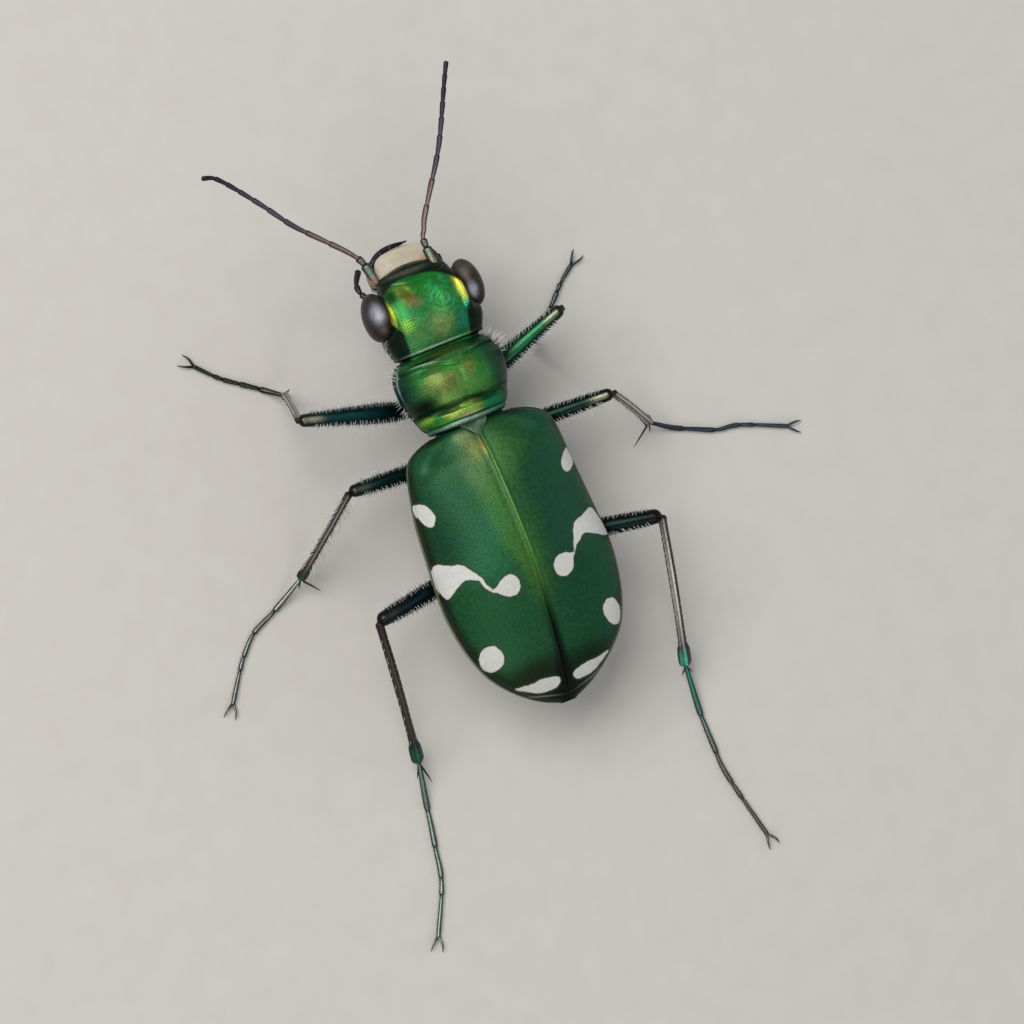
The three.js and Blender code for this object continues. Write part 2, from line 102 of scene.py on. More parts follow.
towards_camera = Vector((math.sin(CAMERA_TILT), 0, math.cos(CAMERA_TILT)))
across_beetle = Vector((-math.cos(CAMERA_TILT), 0, math.sin(CAMERA_TILT)))
along_beetle = Vector((0, 1, 0))
picture_right = across_beetle * math.cos(PICTURE_TURN) + along_beetle * math.sin(PICTURE_TURN)
picture_up = across_beetle * math.sin(PICTURE_TURN) - along_beetle * math.cos(PICTURE_TURN)

camera_data = bpy.data.cameras.new("close_up")
camera_data.sensor_width = SENSOR_WIDTH
camera_data.lens = SENSOR_WIDTH * CAMERA_DISTANCE / PICTURE_WIDTH
camera_data.clip_start = 0.01
camera = placed("close_up", camera_data)
turn = Matrix((picture_right, picture_up, towards_camera)).transposed().to_4x4()
place = TO_FRAME @ (PICTURE_CENTRE + towards_camera * CAMERA_DISTANCE)
camera.matrix_world = Matrix.Translation(place) @ turn
scene.camera = camera
print("lens", round(camera_data.lens), "mm")

# %% [markdown]
# ## Light and floor
# Metallic cuticle shows what it reflects, so the light is large and soft: one wide panel before the head
# and to the beetle's left, weak ones behind it and beside it, and a pale room. Small lamps would give it
# hard white dots.

# %% Make the lights and the room
BEETLE_MIDDLE = Vector((0, 7, 3))


def panel(name, where, size, power, colour):
    """A square soft light, turned to the middle of the beetle. Places and sizes are in millimetres."""
    data = bpy.data.lights.new(name, "AREA")
    data.shape = "SQUARE"
    data.size = size * MM
    data.energy = power
    data.color = colour
    lamp = placed(name, data)
    lamp.location = TO_FRAME @ Vector(where)
    aim = TO_FRAME @ BEETLE_MIDDLE - lamp.location
    lamp.rotation_euler = aim.to_track_quat("-Z", "Y").to_euler()
    print(name, "stands", round(aim.length / MM), "mm from the beetle")


panel("panel_before_the_head", (75, -70, 150), 130, 0.25, (1.0, 0.98, 0.95))
panel("panel_at_the_side", (-160, 20, 80), 110, 0.03, (0.86, 0.92, 1.0))
panel("panel_behind", (60, 150, 110), 90, 0.05, (1.0, 0.97, 0.92))

room = bpy.data.worlds.new("pale_room")
room.use_nodes = True
walls = room.node_tree.nodes["Background"]
walls.inputs["Color"].default_value = (0.78, 0.81, 0.84, 1)
walls.inputs["Strength"].default_value = 0.42
scene.world = room
scene.view_settings.view_transform = "Standard"

# %% [markdown]
# ## Small tools
# Most pieces of an insect are closed skins of round section: a body, a thigh, a segment of a foot. A skin
# starts here as one flat bmesh grid. Each of its corners is carried to a turn round the body and a way
# along it, and the doubled corners at the seam and the two ends are merged. A loft of extruded rings would
# give the same shape, but a grid keeps the turn and the way of every corner, which relief, paint and the
# roots of the hairs use later.

# %% Curves through stations, and skins
MERGE_DISTANCE = 0.0004  # corners closer than this are one corner


def between(stations, where):
    """The values between stations, on a smooth curve through them, as in the solids."""
    last = len(stations) - 1
    low = 0
    while low < last - 1 and where > stations[low + 1][0]:
        low += 1
    rows = [stations[min(last, max(0, i))] for i in (low - 1, low, low + 1, low + 2)]
    span = rows[2][0] - rows[1][0]
    s = min(1, max(0, (where - rows[1][0]) / span))
    values = []
    for k in range(1, len(rows[0])):
        leave = (rows[2][k] - rows[0][k]) / (rows[2][0] - rows[0][0]) * span
        arrive = (rows[3][k] - rows[1][k]) / (rows[3][0] - rows[1][0]) * span
        values.append(
            (2 * s**3 - 3 * s**2 + 1) * rows[1][k]
            + (s**3 - 2 * s**2 + s) * leave
            + (3 * s**2 - 2 * s**3) * rows[2][k]
            + (s**3 - s**2) * arrive
        )
    return values


def mix(start, end, share):
    return start + (end - start) * share


def step_between(low, high, value):
    """0 below low, 1 above high, and a smooth step from one to the other."""
    share = min(1, max(0, (value - low) / (high - low)))
    return share * share * (3 - 2 * share)


def bump(value, centre, width):
    """A smooth hill of height 1 round the centre."""
    return math.exp(-(((value - centre) / width) ** 2))


def rounded(reach):
    """A quarter circle: 0 at an end, and 1 from a reach of 1 on."""
    return math.sqrt(max(0, 1 - (1 - min(1, reach)) ** 2))


def skin(around, steps, place, merge=True):
    """A flat grid carried to place(turn, way), each from 0 to 1, and merged where its corners meet."""
    bm = bmesh.new()
    bmesh.ops.create_grid(bm, x_segments=around, y_segments=steps, size=0.5)
    for vert in bm.verts:
        vert.co = place(vert.co.x + 0.5, vert.co.y + 0.5)
    if merge:
        bmesh.ops.remove_doubles(bm, verts=bm.verts, dist=MERGE_DISTANCE)
    bmesh.ops.recalc_face_normals(bm, faces=bm.faces)
    return bm


def raise_relief(bm, height):
    """Moves each corner along its normal by height(place, normal), in millimetres."""
    bm.normal_update()
    moves = [vert.normal * height(vert.co, vert.normal) for vert in bm.verts]
    for vert, move in zip(bm.verts, moves):
        vert.co += move


def mirrored_skin(bm):
    """The same skin for the other side of the beetle."""
    other = bm.copy()
    bmesh.ops.scale(other, vec=(-1, 1, 1), verts=other.verts)
    bmesh.ops.recalc_face_normals(other, faces=other.faces)
    return other


def joined_skins(skins):
    """Several skins in one bmesh."""
    whole = bmesh.new()
    for part in skins:
        mesh = bpy.data.meshes.new("part")
        part.to_mesh(mesh)
        part.free()
        whole.from_mesh(mesh)
        bpy.data.meshes.remove(mesh)
    return whole


# %% [markdown]
# Legs and feelers are skins along a bent line. The line is a smooth curve through a few joints, cut into
# equal lengths; each ring stands square to it. Rings lie closer together at both ends, so that an end
# can be rounded off like a finger tip.

# %% Limbs
CURVE_STEPS = 24  # places worked out between two joints of a line
SHORTEST_CAP = 1e-6


def curve_point(a, b, c, d, share):
    """A place between b and c on the smooth curve through a, b, c and d."""
    bend = (2 * a - 5 * b + 4 * c - d) * share**2 + (3 * b - a - 3 * c + d) * share**3
    return (2 * b + (c - a) * share + bend) / 2


class Limb:
    """A smooth line through points, with a side and a rise direction at each way from 0 to 1."""

    def __init__(self, points, pieces=160):
        points = np.array(points, float)
        padded = np.vstack([2 * points[0] - points[1], points, 2 * points[-1] - points[-2]])
        shares = np.linspace(0, 1, CURVE_STEPS, endpoint=False)
        spans = zip(padded, padded[1:], padded[2:], padded[3:])
        dense = [curve_point(*span, share) for span in spans for share in shares]
        dense = np.array(dense + [points[-1]])
        along = np.concatenate([[0], np.cumsum(np.linalg.norm(np.diff(dense, axis=0), axis=1))])
        ways = np.linspace(0, along[-1], pieces + 1)
        self.length = along[-1]
        self.pieces = pieces
        self.line = np.stack([np.interp(ways, along, dense[:, k]) for k in range(3)], axis=1)
        forward = np.gradient(self.line, axis=0)
        self.forward = forward / np.linalg.norm(forward, axis=1, keepdims=True)
        side = np.cross((0, 0, 1), self.forward)
        self.side = side / np.linalg.norm(side, axis=1, keepdims=True)
        self.rise = np.cross(self.forward, self.side)

    def frame(self, way):
        """The place, forward, side and rise directions at a way along the line."""
        spot = min(1, max(0, way)) * self.pieces
        low = min(self.pieces - 1, int(spot))
        share = spot - low
        rows = (self.line, self.forward, self.side, self.rise)
        return [Vector(row[low]).lerp(Vector(row[low + 1]), share) for row in rows]

    def spot(self, way):
        """The place at a way along the line."""
        return self.frame(way)[0]

    def surface(self, way, angle, radius):
        """The place on the limb's skin at an angle from straight up, and the direction outwards."""
        centre, forward, side, rise = self.frame(way)
        out = side * math.sin(angle) + rise * math.cos(angle)
        return centre + out * radius, out, forward


def limb_skin(limb, radius, around, steps, section=None, start_cap=None, end_cap=None):
    """A closed round skin with a radius(way) in mm, rounded off over a cap at both ends.

    section(angle) is a share of the radius, for limbs that aren't round.
    """
    start_cap = radius(0) if start_cap is None else start_cap
    end_cap = radius(1) if end_cap is None else end_cap

    def place(turn, way):
        eased = (1 - math.cos(math.pi * way)) / 2
        angle = 2 * math.pi * turn
        from_start = eased * limb.length / max(start_cap, SHORTEST_CAP)
        from_end = (1 - eased) * limb.length / max(end_cap, SHORTEST_CAP)
        cap = rounded(from_start) * rounded(from_end)
        size = radius(eased) * cap * (section(angle) if section else 1)
        return limb.surface(eased, angle, size)[0]

    return skin(around, steps, place)


def through(*pairs):
    """A function that runs smoothly through (place, value) pairs, such as ways and radii."""
    return lambda way: between(pairs, way)[0]


# %% [markdown]
# The colour that each corner was painted with travels as the attribute `hue`. Patches of colour are
# listed: a place, a size and a paint. A patch can also keep to a line, such as a groove or a rim,
# or to the upper face of a limb, where it is a painted highlight.

# %% Colours and finished pieces
def linear(code):
    """An sRGB hex colour as the linear values that shaders use."""
    parts = [int(code[i : i + 2], 16) / 255 for i in (1, 3, 5)]
    return [p / 12.92 if p <= 0.04045 else ((p + 0.055) / 1.055) ** 2.4 for p in parts]


def patch(colour, at, size, share, line=None, width=None, top=None):
    """A soft patch of colour round a place. Its size is one reach or three; None spreads it without end.

    line gives the distance in mm from a line at any place, and the patch fades out over width beside it.
    top is a limb, and the patch keeps to its upper face, as a painted highlight.
    """
    sizes = size if isinstance(size, tuple) else (size, size, size)
    return {"colour": np.array(linear(colour)), "at": at, "size": sizes, "share": share,
            "line": line, "width": width, "top": top}


def seen_from_above(*rows):
    """Patches from rows of colour, x, y, reach across and along, share, and maybe a line and its width."""
    return [
        patch(colour, (x, y, 0), (across, along, None), share, *line)
        for colour, x, y, across, along, share, *line in rows
    ]


# the painted highlight on a limb keeps to the face turned up and a little to the left
LEAN_TO_CAMERA = np.array((0.26, 0, 0))
FACE_START, FACE_FADE = 0.78, 0.17  # how squarely a limb's skin has to face up before it counts


def highlight_face(limb, spots, normals):
    """Where a painted highlight goes: 1 on the face of a limb's skin that is turned up and a little to the
    left, and 0 on its sides.
    """
    nearest = ((spots[:, None] - limb.line[None]) ** 2).sum(2).argmin(1)
    up = limb.rise[nearest] + LEAN_TO_CAMERA
    facing = (normals * up).sum(1) / np.linalg.norm(up, axis=1)
    return np.clip((facing - FACE_START) / FACE_FADE, 0, 1)


def painted(base, patches, spots, normals):
    """The colour at each place in mm: the base with each patch laid over it in turn."""
    colours = np.tile(linear(base), (len(spots), 1))
    for spot in patches:
        far = np.zeros(len(spots))
        for axis in range(3):
            if spot["size"][axis] is not None:
                far += ((spots[:, axis] - spot["at"][axis]) / spot["size"][axis]) ** 2
        if spot["line"]:
            far += (np.array([spot["line"](*place) for place in spots]) / spot["width"]) ** 2
        share = spot["share"] * np.exp(-(far**1.5))
        if spot["top"]:
            share *= highlight_face(spot["top"], spots, normals)
        colours += (spot["colour"] - colours) * share[:, None]
    return colours


def in_frame(name, mesh, material, nodes=()):
    mesh.transform(TO_FRAME)
    mesh.shade_smooth()
    mesh.materials.append(material)
    piece = placed(name, mesh)
    if nodes:
        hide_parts(*nodes)
    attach(piece, "root")
    print(name, len(mesh.polygons), "faces", [round(v / MM, 2) for v in piece.dimensions], "mm")
    return piece


def finished(name, bm, material, nodes, base, patches, values=None):
    """The bmesh as a painted piece: base and patches are its paint, and values its other attributes."""
    mesh = bpy.data.meshes.new(name)
    bm.to_mesh(mesh)
    bm.free()
    spots = np.array([vert.co[:] for vert in mesh.vertices])
    normals = np.array([vert.normal[:] for vert in mesh.vertices])
    colours = np.hstack([painted(base, patches, spots, normals), np.ones((len(spots), 1))])
    mesh.attributes.new("hue", "FLOAT_COLOR", "POINT").data.foreach_set("color", colours.ravel())
    for key, values_at in (values or {}).items():
        mesh.attributes.new(key, "FLOAT", "POINT").data.foreach_set("value", values_at(spots))
    return in_frame(name, mesh, material, nodes)

# %% [markdown]
# ## The finishes
# Beetle green is a structural colour: the outer cuticle is a stack of layers thinner than a wavelength, so
# it glints like anodised metal although it is a horn-like plastic. A Principled shader with most of its
# metallic weight gives that glint, and the roughness sets how satin it looks. The surface is also beaten
# with a net of microscopic cells, drawn here as a cell bump, which breaks the glint into grains. All
# pattern sizes are real sizes in millimetres on Object coordinates, which are metres.

# %% One helper for nodes, and the scale of a pattern
def fill(tree, made, inputs):
    """Gives each input socket of a node its value, or links it to another node's output."""
    for key, value in inputs.items():
        if isinstance(value, bpy.types.NodeSocket):
            tree.links.new(value, made.inputs[key])
        else:
            made.inputs[key].default_value = value


def node(tree, kind, inputs=None, **settings):
    """Adds a shader node: settings are its options, inputs its sockets."""
    made = tree.nodes.new("ShaderNode" + kind)
    for key, value in settings.items():
        setattr(made, key, value)
    fill(tree, made, inputs or {})
    return made


WEAK_GLOSS = 0.2  # the surface is dull between its glints


def per_mm(size):
    """The scale that gives a noise or cell pattern features of this size in millimetres."""
    return 1 / (size * MM)


def opaque(code):
    """An sRGB hex colour for a colour socket."""
    return (*linear(code), 1)


def new_material(name, roughness, metallic=0.0, coat=0.0, coat_roughness=0.1):
    """A material with its even values on the shader's own sockets."""
    material = bpy.data.materials.new(name)
    material.use_nodes = True
    tree = material.node_tree
    shader = tree.nodes["Principled BSDF"]
    fill(tree, shader, {"Roughness": roughness, "Metallic": metallic, "Coat Weight": coat,
                        "Coat Roughness": coat_roughness})
    return material, tree, shader


# %% [markdown]
# ### Painted cuticle
# Head, prothorax, wing cases, legs and feelers share one recipe and differ in shine and grain. Its colour
# is the painted `hue`, turned a little towards gold or blue by a soft cloud, as the layers vary in
# thickness, and darkened with painted shade in the pits between the grains.

# %% Lacquered cuticle from a painted hue
MARK_EDGE = 0.014  # mm over which an ivory marking ends
MARK_WAVER = 0.03  # mm by which its outline wavers
MARK_HALO = 0.075  # mm of dark brown round it, where the green layer thins out
HALO_DEPTH = 0.75
LOW, HIGH = 0.3, 0.7  # a noise pattern seldom leaves this range


def marked_paint(tree, where, paint, mottle, metallic):
    """The paint and its metallic weight, with ivory where the attribute marking_mm is below zero."""
    wander = node(tree, "TexNoise", {"Vector": where, "Scale": per_mm(0.14), "Detail": 2.0})
    waver = node(tree, "MapRange", {"Value": wander.outputs["Fac"], "To Min": -MARK_WAVER,
                                    "To Max": MARK_WAVER})
    measured = node(tree, "Attribute", attribute_name="marking_mm")
    edge = node(tree, "Math", {0: measured.outputs["Fac"], 1: waver.outputs["Result"]}, operation="ADD")
    inside = node(tree, "MapRange", {"Value": edge.outputs["Value"], "From Min": -MARK_EDGE,
                                     "From Max": MARK_EDGE, "To Min": 1.0, "To Max": 0.0})
    halo = node(tree, "MapRange", {"Value": edge.outputs["Value"], "From Min": 0.0, "From Max": MARK_HALO,
                                   "To Min": HALO_DEPTH, "To Max": 0.0})
    ivory = node(tree, "MixRGB", {"Fac": mottle, "Color1": opaque("#DADBD6"), "Color2": opaque("#C2C2BC")})
    browned = node(tree, "MixRGB", {"Fac": halo.outputs["Result"], "Color1": paint,
                                    "Color2": opaque("#3A2A1E")})
    marked = node(tree, "MixRGB", {"Fac": inside.outputs["Result"], "Color1": browned.outputs["Color"],
                                   "Color2": ivory.outputs["Color"]})
    metal = node(tree, "MapRange", {"Value": halo.outputs["Result"], "From Min": 0.0, "From Max": HALO_DEPTH,
                                    "To Min": metallic, "To Max": 0.0})
    return marked.outputs["Color"], metal.outputs["Result"]


def cuticle(name, roughness, metallic, grain, height, cloud, turn, depth, coat, marked=False):
    """Cells of the size grain and the depth height, under colour shifts of the size cloud, all in mm."""
    material, tree, shader = new_material(name, roughness, metallic, coat, 0.25)
    where = node(tree, "TexCoord").outputs["Object"]
    hue = node(tree, "Attribute", attribute_name="hue").outputs["Color"]
    clouds = node(tree, "TexNoise", {"Vector": where, "Scale": per_mm(cloud), "Detail": 3.0})
    shift = node(tree, "MapRange", {"Value": clouds.outputs["Fac"], "From Min": LOW, "From Max": HIGH,
                                    "To Min": 0.5 - turn, "To Max": 0.5 + turn})
    cells = node(tree, "TexVoronoi", {"Vector": where, "Scale": per_mm(grain), "Randomness": 0.9})
    rough_cells = node(tree, "TexNoise", {"Vector": where, "Scale": per_mm(grain * 2.3), "Detail": 5.0})
    mottle = rough_cells.outputs["Fac"]
    # painted shade: the colour is darkened in the pits between the cells, where the bump dents the surface
    pit_shade = node(tree, "MapRange", {"Value": cells.outputs["Distance"], "From Min": 0.25, "From Max": 0.75,
                                   "To Min": 1.0, "To Max": 1.0 - depth})
    grains = node(tree, "MapRange", {"Value": mottle, "From Min": LOW, "From Max": HIGH,
                                     "To Min": 1.0 - depth * 0.7, "To Max": 1.0 + depth * 0.7})
    light = node(tree, "Math", {0: pit_shade.outputs["Result"], 1: grains.outputs["Result"]},
                 operation="MULTIPLY")
    painted_hue = node(tree, "HueSaturation", {"Hue": shift.outputs["Result"],
                                               "Value": light.outputs["Value"], "Color": hue})
    shine = node(tree, "MapRange", {"Value": mottle, "From Min": LOW, "From Max": HIGH,
                                    "To Min": roughness * 0.82, "To Max": roughness * 1.18})
    relief = node(tree, "Math", {0: cells.outputs["Distance"], 1: mottle}, operation="SUBTRACT")
    dent = node(tree, "Bump", {"Height": relief.outputs["Value"], "Distance": height * MM, "Strength": 1.0},
                invert=True)
    paint = painted_hue.outputs["Color"]
    if marked:
        paint, metallic = marked_paint(tree, where, paint, mottle, metallic)
    fill(tree, shader, {"Base Color": paint, "Metallic": metallic, "Roughness": shine.outputs["Result"],
                        "Normal": dent.outputs["Normal"], "Specular IOR Level": WEAK_GLOSS})
    return material


# Satin lacquered cuticle, as finely hammered foil under matt varnish: soft broad light, no mirror
wing_case_finish = cuticle("satin_wing_case_cuticle", 0.48, 0.6, 0.055, 0.005, cloud=0.5, turn=0.014,
                           depth=0.2, coat=0.04, marked=True)
# Polished metallic cuticle: foil-bright, wavering between green, copper and gold
forebody_finish = cuticle("polished_forebody_cuticle", 0.42, 0.62, 0.055, 0.0035, cloud=0.35, turn=0.02,
                          depth=0.22, coat=0.03)
# The same cuticle on the legs: darker, smoother, blue-green like blued steel
leg_finish = cuticle("blued_leg_cuticle", 0.32, 0.7, 0.05, 0.004, cloud=0.25, turn=0.02, depth=0.2,
                     coat=0.06)
# Bronze-brown horn on shanks, feet and feelers: half metallic, with a dull shine
bronze_finish = cuticle("bronzed_horn_cuticle", 0.38, 0.45, 0.045, 0.005, cloud=0.2, turn=0.015, depth=0.25,
                        coat=0.1)
# Dark polished cuticle of the underside and the bases of the legs
under_finish = cuticle("dark_underside_cuticle", 0.3, 0.7, 0.08, 0.01, cloud=0.5, turn=0.03, depth=0.3,
                       coat=0.1)
# Nearly black horn of the jaws, with a violet shine and a hard gloss
jaw_finish = cuticle("black_jaw_horn", 0.24, 0.3, 0.06, 0.003, cloud=0.3, turn=0.04, depth=0.15, coat=0.5)

# %% [markdown]
# ### Ivory, eyes and hair
# The labrum and parts of the palps have no metal layer: they are pale horn that lets light in a little,
# so they get subsurface light. A compound eye is a dome of thousands of lenses over dark pigment: a grey
# brown colour under a soft clear coat, with the lenses as a cell bump and painted shade at their rims.
# The real lenses are 0.02 mm wide; they are drawn at 0.045 mm, as coarse as they need to be to show. The
# hairs are clear white bristles.

# %% Ivory cuticle
# Pale horn: a little light sinks in, so it looks like old piano keys and not like paint
ivory_finish, tree, shader = new_material("pale_ivory_cuticle", 0.4, coat=0.15, coat_roughness=0.2)
where = node(tree, "TexCoord").outputs["Object"]
hue = node(tree, "Attribute", attribute_name="hue").outputs["Color"]
clouds = node(tree, "TexNoise", {"Vector": where, "Scale": per_mm(0.16), "Detail": 5.0})
light = node(tree, "MapRange", {"Value": clouds.outputs["Fac"], "From Min": LOW, "From Max": HIGH,
                                "To Min": 0.86, "To Max": 1.08})
paint = node(tree, "HueSaturation", {"Value": light.outputs["Result"], "Color": hue})
dent = node(tree, "Bump", {"Height": clouds.outputs["Fac"], "Distance": 0.012 * MM})
fill(tree, shader, {
    "Base Color": paint.outputs["Color"], "Normal": dent.outputs["Normal"], "Subsurface Weight": 0.25,
    "Subsurface Radius": (0.25 * MM, 0.18 * MM, 0.1 * MM), "Subsurface Scale": 1.0,
})

# %% Compound eye
# Thousands of small lenses: they break the gloss, so the eye shines softly like a blackberry
LENS = 0.045

eye_finish, tree, shader = new_material("compound_eye_lenses", 0.45, coat=0.12, coat_roughness=0.25)
where = node(tree, "TexCoord").outputs["Object"]
hue = node(tree, "Attribute", attribute_name="hue").outputs["Color"]
lenses = node(tree, "TexVoronoi", {"Vector": where, "Scale": per_mm(LENS), "Randomness": 0.25})
clouds = node(tree, "TexNoise", {"Vector": where, "Scale": per_mm(0.3), "Detail": 3.0})
# painted shade: the colour is darkened at the rims of the lenses, where the bump dents the eye
lens_rim_shade = node(tree, "MapRange", {"Value": lenses.outputs["Distance"], "From Min": 0.3, "From Max": 0.75,
                               "To Min": 1.0, "To Max": 0.72})
light = node(tree, "Math", {0: lens_rim_shade.outputs["Result"], 1: clouds.outputs["Fac"]}, operation="MULTIPLY")
bright = node(tree, "Math", {0: light.outputs["Value"], 1: 2.0}, operation="MULTIPLY")
paint = node(tree, "HueSaturation", {"Value": bright.outputs["Value"], "Color": hue})
dent = node(tree, "Bump", {"Height": lenses.outputs["Distance"], "Distance": 0.006 * MM}, invert=True)
fill(tree, shader, {"Base Color": paint.outputs["Color"], "Normal": dent.outputs["Normal"],
                    "Specular IOR Level": WEAK_GLOSS})

# %% White bristles
# Clear hollow chitin: most of the light passes into it and out again, so it glows white
bristle_finish, tree, shader = new_material("white_bristle_chitin", 0.35)
where = node(tree, "TexCoord").outputs["Object"]
clouds = node(tree, "TexNoise", {"Vector": where, "Scale": per_mm(0.2), "Detail": 2.0})
paint = node(tree, "MixRGB", {"Fac": clouds.outputs["Fac"], "Color1": opaque("#FAF8F4"),
                              "Color2": opaque("#DEDAD0")})
fill(tree, shader, {
    "Base Color": paint.outputs["Color"], "Subsurface Weight": 0.8,
    "Subsurface Radius": (0.1 * MM, 0.1 * MM, 0.1 * MM), "Subsurface Scale": 1.0,
})
print(len(bpy.data.materials), "finishes")

# %% [markdown]
# ## Floor
# The beetle stands on plain matt card with a faint fibre pattern, large enough to fill the picture. A grid
# of one face is all it needs.

# %% Pale floor card
# Uncoated card: it has no shine, so the beetle's soft shadow is all that shows on it
CARD_HALF = 600

floor_finish, tree, shader = new_material("pale_matt_card", 0.85)
where = node(tree, "TexCoord").outputs["Object"]
fibres = node(tree, "TexNoise", {"Vector": where, "Scale": per_mm(0.9), "Detail": 5.0})
paint = node(tree, "MixRGB", {"Fac": fibres.outputs["Fac"], "Color1": opaque("#C9C5BE"),
                              "Color2": opaque("#D2CFC9")})
fill(tree, shader, {"Base Color": paint.outputs["Color"]})

bm = bmesh.new()
bmesh.ops.create_grid(bm, x_segments=1, y_segments=1, size=CARD_HALF * MM)
bmesh.ops.translate(bm, vec=(0, 0, cad_low.z), verts=bm.verts)
card = bpy.data.meshes.new("floor_card")
bm.to_mesh(card)
bm.free()
card.materials.append(floor_finish)
placed("floor_card", card)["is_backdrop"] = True
print("floor card", 2 * CARD_HALF, "mm wide")

# %% [markdown]
# ## Wing cases
# The two front wings of a beetle are hard covers that meet along a straight seam. Each is one thin shell:
# domed over the back, with a raised bead along the seam, a shallow gutter and a second bead along the
# outer edge, and a narrow strip folded under that edge. A subdivided box would need all those edges cut in.
# A grid whose columns run from the seam to the folded strip has them by its formula, and a Solidify
# modifier turns the open sheet into a shell of even thickness.

# %% The surface of a wing case
BODY_LENGTH = 13.5
# place along the beetle, half width, height of the side edge, height of the seam
WING_CASES = [
    [5.28, 1.25, 3.3, 3.72],
    [5.4, 1.66, 3.32, 3.78],
    [5.6, 2.02, 3.32, 3.84],
    [5.85, 2.2, 3.32, 3.94],
    [6.2, 2.3, 3.28, 4.08],
    [7.3, 2.45, 2.95, 4.27],
    [8.4, 2.54, 2.88, 4.32],
    [9.5, 2.61, 2.86, 4.26],
    [10.1, 2.6, 2.82, 4.08],
    [10.8, 2.5, 2.78, 3.84],
    [11.4, 2.34, 2.73, 3.62],
    [12.0, 2.07, 2.64, 3.34],
    [12.5, 1.66, 2.46, 3.04],
    [12.9, 1.2, 2.3, 2.76],
    [13.2, 0.74, 2.2, 2.5],
    [13.42, 0.24, 2.16, 2.3],
]
CASE_START = WING_CASES[0][0]
CASE_END = BODY_LENGTH - 0.06
CASE_THICKNESS = 0.09
SEAM_GAP = 0.005  # half the slit between the two wing cases
SEAM_WALL = 0.03  # share of the columns that run down inside the seam
FOLD = 0.94  # share of the columns after which the strip folds under


def closer_at_ends(way, share=0.78):
    """The same way with its rows drawn together at both ends, by a share from 0 to 1."""
    return way - share * math.sin(2 * math.pi * way) / (2 * math.pi)


def arc_length(half, rise, turn, pieces=12):
    """Length along the section of a wing case from the seam to a turn in radians."""
    length = 0
    for k in range(pieces):
        middle = turn * (k + 0.5) / pieces
        length += math.hypot(half * math.cos(middle), rise * math.sin(middle)) * turn / pieces
    return length


def wing_case_relief(from_seam, from_edge, y):
    """How far the surface stands off its plain dome, in mm."""
    height = 0.014 * bump(from_seam, 0.03, 0.03) - 0.008 * bump(from_seam, 0.13, 0.06)
    height += 0.02 * bump(from_edge, 0.03, 0.035) - 0.035 * bump(from_edge, 0.16, 0.08)
    height += 0.07 * bump(from_edge, 0.62, 0.3) * bump(y, 5.95, 0.35)
    height -= 0.05 * bump(from_edge, 1.25, 0.3) * bump(y, 5.85, 0.35)
    height += 0.03 * bump(from_seam, 0.45, 0.35) * bump(y, 5.75, 0.3)
    height -= 0.02 * bump(from_seam, 1.5, 0.4) * bump(y, 8.7, 0.8)
    return height


def wing_case_place(turn, way):
    y = mix(CASE_START, CASE_END, closer_at_ends(way))
    half, edge, seam = between(WING_CASES, y)
    rise = seam - edge
    if turn < SEAM_WALL:
        return SEAM_GAP, y, seam - 0.1 * (1 - turn / SEAM_WALL)
    if turn > FOLD:
        under = (turn - FOLD) / (1 - FOLD) * math.pi / 2
        return half - 0.24 * min(1, half) * (1 - math.cos(under)), y, edge - 0.09 * math.sin(under)
    angle = (turn - SEAM_WALL) / (FOLD - SEAM_WALL) * math.pi / 2
    x = SEAM_GAP + (half - SEAM_GAP) * math.sin(angle)
    z = edge + rise * math.cos(angle)
    from_seam = arc_length(half, rise, angle)
    from_edge = arc_length(half, rise, math.pi / 2) - from_seam
    height = wing_case_relief(from_seam, from_edge, y) * min(1, half / 1.2)
    out = Vector((math.sin(angle) / half, 0, math.cos(angle) / rise)).normalized()
    return x + out.x * height, y, z + out.z * height


def surface_place(spot):
    """(distance from the seam along the surface, y) of a place on a wing case, in mm."""
    x, y, z = spot
    half, edge, seam = between(WING_CASES, y)
    angle = math.asin(min(1, abs(x) / half))
    if z < edge:
        return arc_length(half, seam - edge, math.pi / 2) + (edge - z), y
    return arc_length(half, seam - edge, angle), y


# %% [markdown]
# ### The ivory markings
# The markings are in the shell itself, and left and right differ a little, as on every animal. They could
# be cut into the mesh, but the edge of a marking is a change of pigment, not of shape. So each is an
# outline in millimetres on the unrolled surface: distance from the seam, and place along the beetle. Every
# corner of the mesh stores how far it is outside the nearest outline, and the shader draws a sharp edge
# and a thin brown halo from that distance.

# %% Outlines of the markings and distances to them
LEFT_MARKS = (
    # at the shoulder
    [(2.75, 6.85), (2.48, 6.83), (2.24, 6.97), (2.13, 7.31), (2.27, 7.53), (2.47, 7.5), (2.68, 7.2)],
    # the middle band, and the hook that it ends in
    [(2.95, 8.68), (2.67, 8.57), (2.34, 8.7), (1.95, 8.83), (1.72, 9.1), (1.53, 9.43), (1.98, 9.26),
     (2.29, 9.38), (2.63, 9.55), (2.8, 9.52), (2.99, 9.18)],
    [(1.62, 9.36), (1.53, 9.36), (1.46, 9.62), (1.3, 9.77), (1.06, 9.62), (0.78, 9.55), (0.6, 9.72),
     (0.58, 9.95), (0.72, 10.12), (0.98, 10.12), (1.2, 9.95), (1.38, 9.84), (1.54, 9.65)],
    # the rear spot, and the crescent at the end
    [(1.62, 11.45), (1.8, 11.24), (2.08, 11.22), (2.3, 11.42), (2.28, 11.72), (2.05, 11.9), (1.78, 11.88),
     (1.6, 11.7)],
    [(0.2, 12.72), (0.26, 12.93), (0.6, 12.97), (0.98, 12.88), (1.5, 12.58), (1.05, 12.62), (0.62, 12.6)],
)
